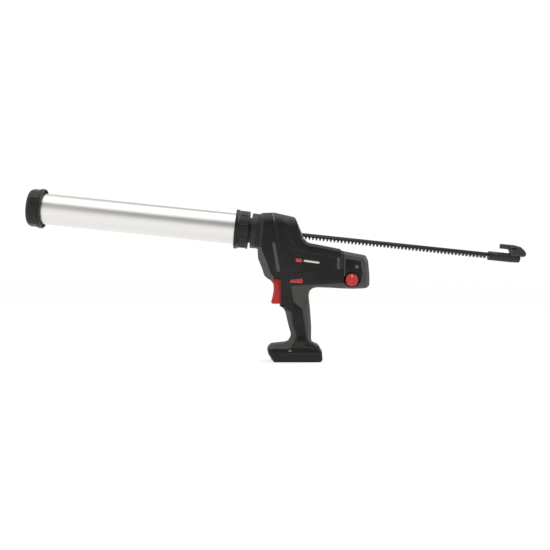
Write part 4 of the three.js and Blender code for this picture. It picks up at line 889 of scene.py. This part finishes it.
def build_nut():
    """The rear ring nut, with shallow pads round its band."""
    front, rear, flange = barrel_span("rear_nut")
    band = flange - 1.4
    bore = barrel_span("barrel_tube")[2] + 0.4
    lip = NECK_SPIGOT + 0.4
    edge = [(front, bore, 0.3), (front, flange, 1), (front + 5.6, flange, 1.2), (front + 6.9, band, 0.8),
            (rear, band, 1.4), (rear, lip, 0.4), (rear - 3.7, lip, 0.3), (rear - 3.7, bore, 0.3)]
    profile = fine(rounded(edge, 4), 0.8)
    pads, deep, s_low, s_high = 9, 0.9, front + 8.4, rear - 2.6

    def shape(s, radius, angle):
        if radius < band - 1.5 or not s_low < s < s_high:
            return radius
        along = min(s - s_low, s_high - s)
        turn = 2 * math.pi / pads
        across = (0.42 - abs((angle / turn) % 1 - 0.5)) * turn * band
        return radius - deep * smooth(min(along, across) / 1.3)

    points, faces = lathe(profile, 270, shape)
    put("locking_nut", points, faces, RING_BLACK, "rear_nut", ("rear_nut",), in_barrel, crease=38)


def build_neck():
    """The neck that carries the nut in front of the housing."""
    front, rear, radius = barrel_span("barrel_neck")
    shoulder_s, face_s, bore, socket = -80.4, -66.3, 10.3, 24
    edge = [(front, bore, 0.4), (front, 26.7, 0.3), (front + 4.5, 26.7, 0.3), (front + 4.5, NECK_SPIGOT, 0.3),
            (shoulder_s, NECK_SPIGOT, 0.5), (shoulder_s, radius - 0.2, 1.2), (-70.6, radius - 0.2, 0.4),
            (-70.2, radius - 1, 0.3), (-69.4, radius - 1, 0.3), (-69.0, radius, 0.4), (face_s, radius, 0.6),
            (face_s, socket, 0.3), (rear, socket, 0.4), (rear, bore, 0.4)]
    points, faces = lathe(fine(rounded(edge, 3), 3), 144)
    put("neck_ring", points, faces, NECK, "gun", ("barrel_neck",), in_barrel, crease=38)


# ------------------------------------------------------------------ rod and hook handle
def in_frame(points):
    """Millimetres in the frame to metres in the frame."""
    return np.asarray(points) * MM


def build_rack():
    """A welded copy of the CAD rack with softened edges, which stands for it."""
    source = frame["nodes"]["rack_rod"].data
    points = [(v.co / MM)[:] for v in source.vertices]
    faces = [tuple(p.vertices) for p in source.polygons]
    piece = put("toothed_rack", points, faces, STEEL, "push_rod", ("rack_rod",), in_frame, crease=25)
    work = bmesh.new()
    work.from_mesh(piece.data)
    bmesh.ops.dissolve_limit(work, angle_limit=math.radians(1), verts=work.verts, edges=work.edges)
    work.to_mesh(piece.data)
    work.free()
    soften(piece, 0.3)


def build_handle():
    """The handle on the rod's end: a cast sleeve and the hook on top of it."""
    front, rear, _ = barrel_span("rod_handle")
    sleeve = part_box("rod_handle")[1].y / MM
    end = 391.8
    edge = [(front, 0, 0), (front, sleeve - 0.6, 0.5), (front + 1.2, sleeve, 1), (end - 16, sleeve, 4),
            (end, sleeve - 0.9, 2.6), (end, 0, 0)]

    def flats(s, radius, angle):
        """Cast sides: a slightly squared section."""
        return radius * (1 - 0.035 * (1 - math.cos(4 * angle)) / 2)

    points, faces = lathe(fine(rounded(edge, 4), 2)[:-1] + [(end, 0)], 72, flats)
    put("handle_sleeve", points, faces, CAST, "push_rod", ("rod_handle",), in_barrel)
    corners = [(354.8, 22.7, 1.2, 3), (379, 22.7, 12, 4), (391.5, 20.6, 9, 4), (rear - 1.6, 13.2, 8, 4),
               (rear - 0.1, 7.6, 4, 3), (398.4, 3.6, 2.4, 2), (374.4, 3.4, 2, 2), (372.0, 11.4, 4, 3),
               (369.4, 14.3, 3, 3), (354.8, 14.3, 1.2, 3)]
    turns = np.linspace(0, 2 * math.pi, 30)[:-1]
    slot = [(378.4 + 5.6 * math.cos(a), 15.6 + 2.1 * math.sin(a)) for a in turns]
    pocket = rounded([(376.4, 12.0, 1.5), (396.6, 10.8, 3), (396.2, 5.6, 1.6), (376.2, 5.4, 1.4)])

    def half_at(spots):
        boss = smooth((spots[:, 0] - 370.5) / 4)
        half = 4.2 + 3.4 * boss
        half -= 0.9 * smooth(signed(spots, pocket) / 0.9 + 0.2)
        half -= 4.2 * smooth(signed(spots, slot) / 1.1 + 0.3) * boss
        return half

    # The hook's finish is a painted highlight, lighter than the sleeve's cast steel.
    relief_solid("handle_hook", corners, half_at, HOOK_PAINTED_HIGHLIGHT, "push_rod", (), in_barrel, 0.9, (slot, pocket))


housing_spots, housing_half = build_housing()
build_battery_bay()
build_screw_wells(housing_spots, housing_half)
build_vents()
build_trigger()
build_lock()
build_dial()
build_tube()
build_cap()
build_nut()
build_neck()
build_handle()
build_rack()

# ------------------------------------------------------------------ CAD nodes that stay
KEPT = [
    (BRIGHT, "piston_screw motor_shaft pinion_axle cross_axle trigger_spring ring_gear gear_plate_left "
             "gear_plate_right plate_post_1 plate_post_2 shaft_bracket motor_can axle_bearing_1 "
             "axle_bearing_2 axle_bearing_3 axle_bearing_4 spur_wheel bevel_wheel"),
    (STEEL, "cap_screw handle_pin drive_pinion spur_pinion bevel_pinion clutch_hub planet_carrier "
            "motor_rotor housing_screw_1 housing_screw_2 housing_screw_3 housing_screw_4"),
    (BRASS, "sun_gear planet_gear_1 planet_gear_2 planet_gear_3"),
    (BLACK, "piston_disc rod_bush_rear gearbox_case motor_end_bell cooling_fan trigger_switch "
            "terminal_block dial_potentiometer"),
    (WHITE, "rod_bush_front"),
    (RUBBER, "piston_seal"),
    (GREEN, "control_board"),
    (LENS, "charge_lens"),
]
for kept_finish, kept_names in KEPT:
    for kept_name in kept_names.split():
        kept_mesh = frame["nodes"][kept_name].data
        kept_mesh.materials.clear()
        kept_mesh.materials.append(kept_finish["material"])

# ------------------------------------------------------------------ stage, light and camera
scene = bpy.context.scene
scene.view_settings.view_transform = "Standard"


def build_stage():
    """A pale floor that glows a little, so that it stays near white."""
    bpy.ops.mesh.primitive_plane_add(size=30, location=(0, 0, 0))
    floor = bpy.context.object
    floor.name = "studio_floor"
    material = bpy.data.materials.new("floor_paper")
    material.use_nodes = True
    nodes, links = material.node_tree.nodes, material.node_tree.links
    shader = nodes["Principled BSDF"]
    noise = nodes.new("ShaderNodeTexNoise")
    noise.inputs["Scale"].default_value = 3
    ramp = nodes.new("ShaderNodeValToRGB")
    ramp.color_ramp.elements[0].color = (0.34, 0.34, 0.34, 1)
    ramp.color_ramp.elements[1].color = (0.36, 0.36, 0.36, 1)
    links.new(noise.outputs["Fac"], ramp.inputs["Fac"])
    links.new(ramp.outputs["Color"], shader.inputs["Base Color"])
    shader.inputs["Roughness"].default_value = 0.9
    shader.inputs["Emission Color"].default_value = (1, 1, 1, 1)
    shader.inputs["Emission Strength"].default_value = 0.66
    floor.data.materials.append(material)


# Dim patches of the sky for the bright tube to reflect: a direction, how much fainter the patch is than
# the first, and how much narrower it is across than up.
DIM_PATCHES = [
    ((0, -0.785, 0.62), 0, 2.1),
    ((0, 0.785, 0.62), 0.14, 2.1),
    ((-0.86, -0.42, 0.28), 0.10, 1),
    ((0.86, -0.42, 0.28), 0.10, 1),
    ((-0.86, 0.42, 0.28), 0.12, 1),
    ((0.86, 0.42, 0.28), 0.12, 1),
]


def build_world():
    """White all round apart from the dim patches, and plain white to the camera."""
    world = bpy.data.worlds.new("studio")
    scene.world = world
    world.use_nodes = True
    nodes, links = world.node_tree.nodes, world.node_tree.links
    ground = nodes["Background"]
    place = nodes.new("ShaderNodeTexCoord")

    def nearness(direction, fainter, narrower):
        squeeze = nodes.new("ShaderNodeMapping")
        squeeze.inputs["Scale"].default_value = (narrower, 1, 1)
        unit = nodes.new("ShaderNodeVectorMath")
        unit.operation = "NORMALIZE"
        dot = nodes.new("ShaderNodeVectorMath")
        dot.operation = "DOT_PRODUCT"
        dot.inputs[1].default_value = direction
        less = nodes.new("ShaderNodeMath")
        less.operation = "SUBTRACT"
        less.inputs[1].default_value = fainter
        links.new(place.outputs["Generated"], squeeze.inputs["Vector"])
        links.new(squeeze.outputs["Vector"], unit.inputs[0])
        links.new(unit.outputs["Vector"], dot.inputs[0])
        links.new(dot.outputs["Value"], less.inputs[0])
        return less.outputs["Value"]

    closest = nearness(*DIM_PATCHES[0])
    for patch in DIM_PATCHES[1:]:
        larger = nodes.new("ShaderNodeMath")
        larger.operation = "MAXIMUM"
        links.new(closest, larger.inputs[0])
        links.new(nearness(*patch), larger.inputs[1])
        closest = larger.outputs["Value"]
    height = nodes.new("ShaderNodeValToRGB")
    ramp = height.color_ramp
    stops = [(0.60, 1.2), (0.70, 1.0), (0.80, 0.68), (0.90, 0.36), (1.0, 0.22)]
    ramp.elements[0].position, ramp.elements[1].position = stops[0][0], stops[-1][0]
    ramp.elements[0].color = (stops[0][1],) * 3 + (1,)
    ramp.elements[1].color = (stops[-1][1],) * 3 + (1,)
    for position, value in stops[1:-1]:
        ramp.elements.new(position).color = (value, value * 0.985, value * 0.96, 1)
    links.new(closest, height.inputs["Fac"])
    links.new(height.outputs["Color"], ground.inputs["Color"])
    plain = nodes.new("ShaderNodeBackground")
    plain.inputs["Strength"].default_value = 1.02
    plain.inputs["Color"].default_value = (1, 1, 1, 1)
    seen = nodes.new("ShaderNodeLightPath")
    mix = nodes.new("ShaderNodeMixShader")
    links.new(seen.outputs["Is Camera Ray"], mix.inputs["Fac"])
    links.new(ground.outputs["Background"], mix.inputs[1])
    links.new(plain.outputs["Background"], mix.inputs[2])
    links.new(mix.outputs["Shader"], nodes["World Output"].inputs["Surface"])


def add_light(name, place, aim, size, power):
    """An area light that looks from place to aim."""
    light = bpy.data.lights.new(name, "AREA")
    light.shape = "RECTANGLE"
    light.size, light.size_y = size
    light.energy = power
    lamp = bpy.data.objects.new(name, light)
    lamp.location = place
    lamp.rotation_euler = (Vector(aim) - Vector(place)).to_track_quat("-Z", "Y").to_euler()
    scene.collection.objects.link(lamp)


def build_camera():
    """Square on to the gun's left side."""
    camera = bpy.data.cameras.new("camera")
    camera.lens = 55.6
    view = bpy.data.objects.new("camera", camera)
    view.location = (-0.004, -1.487, 0.150)
    view.rotation_euler = (math.radians(90), 0, 0)
    scene.collection.objects.link(view)
    scene.camera = view


build_stage()
build_world()
add_light("overhead", (0.1, -0.1, 1.4), (0, 0, 0.15), (2.4, 1.2), 9)
add_light("rear_right", (1.5, 0.5, 0.75), (0.1, 0, 0.15), (0.7, 0.7), 12)
add_light("front_left", (-1.5, -0.8, 0.9), (0, 0, 0.15), (0.7, 0.7), 5)
build_camera()
